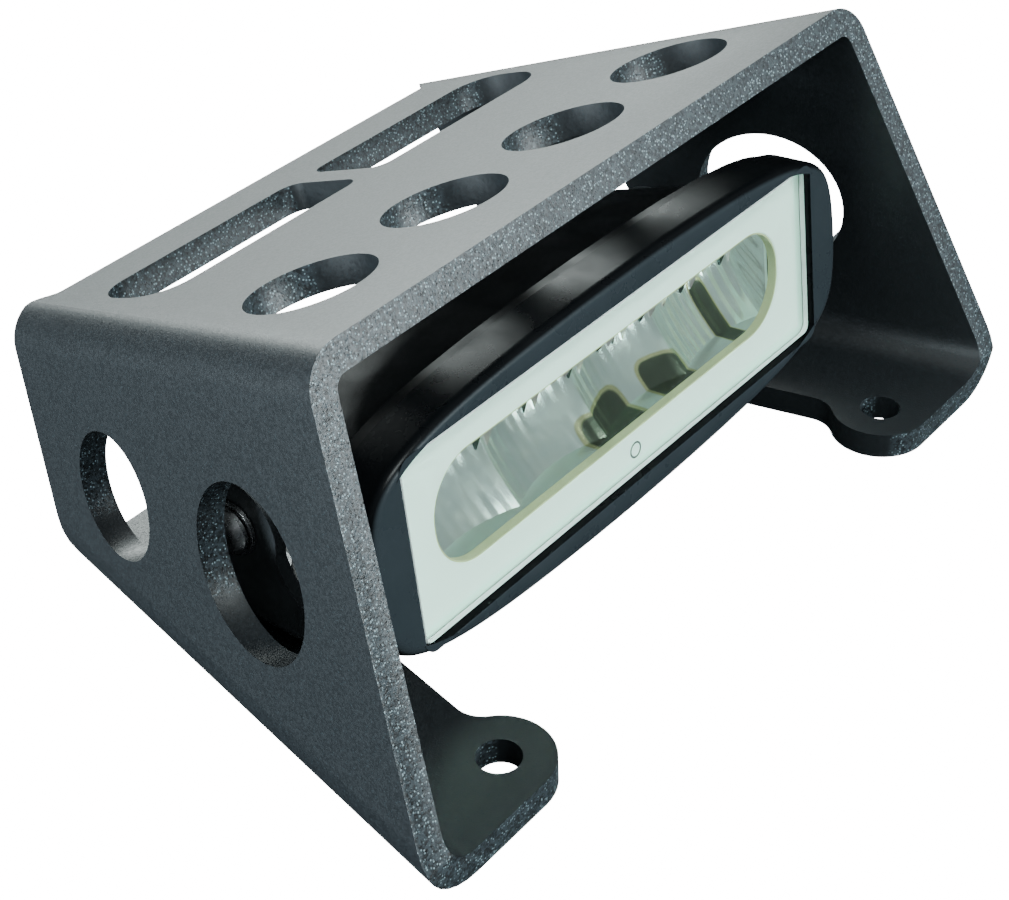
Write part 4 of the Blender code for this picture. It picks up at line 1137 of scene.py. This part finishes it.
    def lofted(self, name: str, rings: Sequence[tuple[Outline, float]],
               looped: bool = False) -> bpy.types.Object:
        """Place outlines along the lens axis and join them.

        Args:
            name: The piece's name.
            rings: Each outline and its place along the axis.
            looped: Whether the last outline joins the first.

        Returns:
            The piece.
        """
        points = np.stack([self.axes.place(x, np.full_like(x, y), z)
                           for (x, z), y in rings])
        return mesh_from_rings(name, points, looped)


@dataclass
class LightEngine(Assembly):
    """The reflector, the LEDs and their boards."""

    axes: LampAxes | None = None
    pitch: float = 29.0 * MM
    half_width: float = 58.4 * MM
    bottom: float = -13.4 * MM
    top: float = 12.3 * MM
    back: float = -20.0 * MM
    lip: float = -36.4 * MM
    spread: float = 58.9 * MM
    wall: float = 1.0 * MM
    columns: int = 465
    rows: int = 81
    wall_steps: int = 12
    flute: float = 0.22 * MM
    flute_pitch: float = 2.9 * MM
    end_flute: float = 0.9 * MM
    end_flute_pitch: float = 4.4 * MM

    def build(self) -> None:
        """Build the reflector, the LEDs and the driver."""
        self.keep(self.reflector(), "lamp", Look.MIRROR, "reflector")
        self.refine(["led_board", "driver_board"], "lamp", Look.BOARD, 0.1)
        self.refine([f"led_{i}" for i in range(1, 5)], "lamp", Look.LED, 0.2)
        self.refine(["driver_capacitor"], "lamp", Look.CAN, 0.15)
        self.refine(["driver_inductor"], "lamp", Look.FERRITE, 0.2)

    def reflector(self) -> bpy.types.Object:
        """Build the reflector as a tray: bowls with walls at both ends and below.

        The grid runs past the bowls on three sides.  There x and z stand still
        and the surface comes forward to the lip in even steps.  The end walls are
        folded inward by a triangle wave that fades at both of their edges.
        """
        wide = np.linspace(-self.half_width, self.half_width, self.columns)
        high = np.linspace(self.bottom, self.top, self.rows)
        out = np.arange(1, self.wall_steps + 1)
        x_line = np.concatenate([np.full(out.size, wide[0]), wide, np.full(out.size, wide[-1])])
        z_line = np.concatenate([np.full(out.size, high[0]), high])
        x_out = np.concatenate([out[::-1], np.zeros(wide.size), out]) / self.wall_steps
        z_out = np.concatenate([out[::-1], np.zeros(high.size)]) / self.wall_steps
        x, z = np.meshgrid(x_line, z_line)
        out_x, out_z = np.meshgrid(x_out, z_out)
        out = np.maximum(out_x, out_z)
        y = self.face(x, z) * (1 - out) + self.lip * out
        wave = np.abs(((z - y) / self.end_flute_pitch) % 1 - 0.5) * 4
        flute = wave * out * (1 - out) * self.end_flute
        inner = x - np.sign(x) * flute * (out_x > 0)
        at_side = np.abs(x) >= self.half_width
        at_foot = z <= self.bottom
        back = self.axes.place(x + np.sign(x) * self.wall * at_side, y + self.wall * (1 - out),
                               z - self.wall * at_foot)
        return mesh_from_shell("reflector_shell", self.axes.place(inner, y, z), back)

    def face(self, x: Array, z: Array) -> Array:
        """Return how far back the reflector's face lies.

        Each bay is a bowl of revolution about its LED at the top edge, which
        comes forward with the square of the distance.  Shallow upright flutes
        break its face up.

        Args:
            x: Places across.
            z: Heights above the lens axis.

        Returns:
            Places along the lens axis.
        """
        bay = np.clip(np.floor(x / self.pitch) + 0.5, -1.5, 1.5)
        across = x - bay * self.pitch
        bowl = self.back - (across ** 2 + (z - self.top) ** 2) / self.spread
        flute = np.abs(((across / self.flute_pitch) % 1) - 0.5) * self.flute
        return np.maximum(bowl - flute, self.lip)


@dataclass
class Housing(Assembly):
    """The cast body, its rear cover, the screws, the gland and the pivots."""

    cast_edge_mm: float = 0.4
    cover_edge_mm: float = 0.3
    screw_edge_mm: float = 0.12

    def build(self) -> None:
        """Build the casting first, then everything fixed to it."""
        self.refine(["housing"], "lamp", Look.HOUSING, self.cast_edge_mm)
        self.refine(["rear_cover"], "lamp", Look.HOUSING, self.cover_edge_mm)
        self.refine(["rear_cover_gasket"], "lamp", Look.RUBBER, 0.1)
        self.refine(["breather_vent", "cable_gland", "gland_nut"], "lamp", Look.NYLON, 0.2)
        self.refine([f"{kind}_{i}" for kind in ("bezel_screw", "rear_cover_screw")
                     for i in range(1, 5)], "lamp", Look.ZINC, self.screw_edge_mm)
        self.refine(["pivot_bolt_left", "pivot_bolt_right", "pivot_washer_left",
                     "pivot_washer_right"], "lamp", Look.ZINC, self.screw_edge_mm)
        self.refine(["pivot_spacer_left", "pivot_spacer_right"], "lamp", Look.NYLON, 0.15)


# ----------------------------------------------------------------------- stage


@dataclass(frozen=True)
class Lamp:
    """One soft studio light."""

    name: str
    place: tuple[float, float, float]
    aim: tuple[float, float, float]
    size: tuple[float, float]
    power: float
    colour: Colour = (1.0, 1.0, 1.0)

    def build(self) -> None:
        """Hang the light and turn it towards its aim."""
        light = bpy.data.lights.new(self.name, "AREA")
        light.shape = "RECTANGLE"
        light.size, light.size_y = self.size
        light.energy = self.power
        light.color = self.colour
        holder = bpy.data.objects.new(self.name, light)
        holder.location = self.place
        way = Vector(self.aim) - Vector(self.place)
        holder.rotation_euler = way.to_track_quat("-Z", "Y").to_euler()
        bpy.context.scene.collection.objects.link(holder)


@dataclass
class Stage:
    """The floor, the surroundings, the lights and the camera."""

    floor_size: float = 6.0
    floor_colour: Colour = (0.93, 0.94, 0.94)
    floor_bounce: Colour = (0.030, 0.034, 0.038)
    white: float = 16.0
    lens_mm: float = 72.62
    sensor_mm: float = 36.0
    camera_place: tuple[float, float, float] = (-0.27650, -0.23494, 0.27140)
    right: tuple[float, float, float] = (0.62048, -0.78349, -0.03383)
    down: tuple[float, float, float] = (-0.47540, -0.34148, -0.81080)
    lights: tuple[Lamp, ...] = (
        Lamp("key", (0.45, -1.10, 0.22), (0, -0.05, 0.06), (0.6, 0.3), 8.5, (0.88, 0.98, 1.0)),
        Lamp("kicker", (-0.05, -0.26, 0.30), (-0.05, -0.04, 0.09), (0.08, 0.08), 0.66,
             (0.90, 1.0, 1.0)),
        Lamp("top", (0.60, 0.90, 0.52), (0, 0, 0.06), (0.9, 0.5), 14.0, (0.90, 1.0, 0.98)),
        Lamp("left", (-1.10, 0.35, 0.22), (0, 0, 0.05), (0.9, 0.6), 25.0, (0.80, 0.93, 1.0)),
    )

    def build(self) -> None:
        """Build everything round the object."""
        self.floor()
        self.surroundings()
        for light in self.lights:
            light.build()
        self.camera()

    def floor(self) -> None:
        """Lay a plain pale floor that is dimmer in reflections than it looks."""
        half = self.floor_size / 2
        corners = [(-half, -half, 0), (half, -half, 0), (half, half, 0), (-half, half, 0)]
        mesh = bpy.data.meshes.new("floor")
        mesh.from_pydata(corners, [], [(0, 1, 2, 3)])
        board = bpy.data.objects.new("floor", mesh)
        board.location = (0, 0, -0.2 * MM)
        bpy.context.scene.collection.objects.link(board)
        surface = bpy.data.materials.new("floor_paper")
        surface.use_nodes = True
        graph = Graph(surface.node_tree)
        shader = surface.node_tree.nodes["Principled BSDF"]
        seen = graph.add("ShaderNodeLightPath").outputs["Is Camera Ray"]
        graph.feed(shader.inputs["Base Color"],
                   graph.blend(seen, self.floor_bounce, self.floor_colour))
        shader.inputs["Roughness"].default_value = 0.9
        graph.feed(shader.inputs["Emission Color"], graph.blend(seen, (0, 0, 0), (1, 1, 1)))
        shader.inputs["Emission Strength"].default_value = self.white
        mesh.materials.append(surface)

    def surroundings(self) -> None:
        """Light the room softly from above and leave it white to the eye."""
        world = bpy.data.worlds.new("room")
        bpy.context.scene.world = world
        world.use_nodes = True
        graph = Graph(world.node_tree)
        background = world.node_tree.nodes["Background"]
        way = graph.add("ShaderNodeTexCoord").outputs["Generated"]
        height = graph.add("ShaderNodeSeparateXYZ", {0: way}).outputs[2]
        lift = graph.ramp(height, -0.15, 0.55)
        sky = graph.blend(lift, (0.04, 0.045, 0.05), (0.26, 0.28, 0.29))
        seen = graph.add("ShaderNodeLightPath").outputs["Is Camera Ray"]
        graph.feed(background.inputs[0], graph.blend(seen, sky, (self.white,) * 3))
        background.inputs[1].default_value = 1.0

    def camera(self) -> None:
        """Set the camera from its place and the ways that its picture runs."""
        right, down = Vector(self.right).normalized(), Vector(self.down).normalized()
        forward = right.cross(down)
        data = bpy.data.cameras.new("camera")
        data.lens = self.lens_mm
        data.sensor_width = self.sensor_mm
        data.clip_start, data.clip_end = 0.02, 20.0
        holder = bpy.data.objects.new("camera", data)
        turn = Matrix((right, -down, -forward)).transposed()
        holder.matrix_world = Matrix.Translation(self.camera_place) @ turn.to_4x4()
        bpy.context.scene.collection.objects.link(holder)
        bpy.context.scene.camera = holder


def lamp_axes() -> LampAxes:
    """Return the lamp's axes about the record's joint."""
    pivot = np.array(frame["record"]["behaviour"]["joints"][0]["pos_m"], float)
    return LampAxes(pivot=pivot, lean=LAMP_LEAN, rise=LENS_RISE)


def main() -> None:
    """Build the stage, then the fog light from the outside in."""
    Stage().build()
    low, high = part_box("lens")
    paints = Paintbox(tuple((low + high) / 2))
    axes = lamp_axes()
    steps: list[tuple[str, Callable[[], None]]] = [
        ("guard", Guard(paints).build),
        ("lens stack", LensStack(paints, axes=axes).build),
        ("light engine", LightEngine(paints, axes=axes).build),
        ("housing", Housing(paints).build),
    ]
    for name, build in steps:
        log.info("building the %s", name)
        build()


if __name__ == "__main__":
    main()
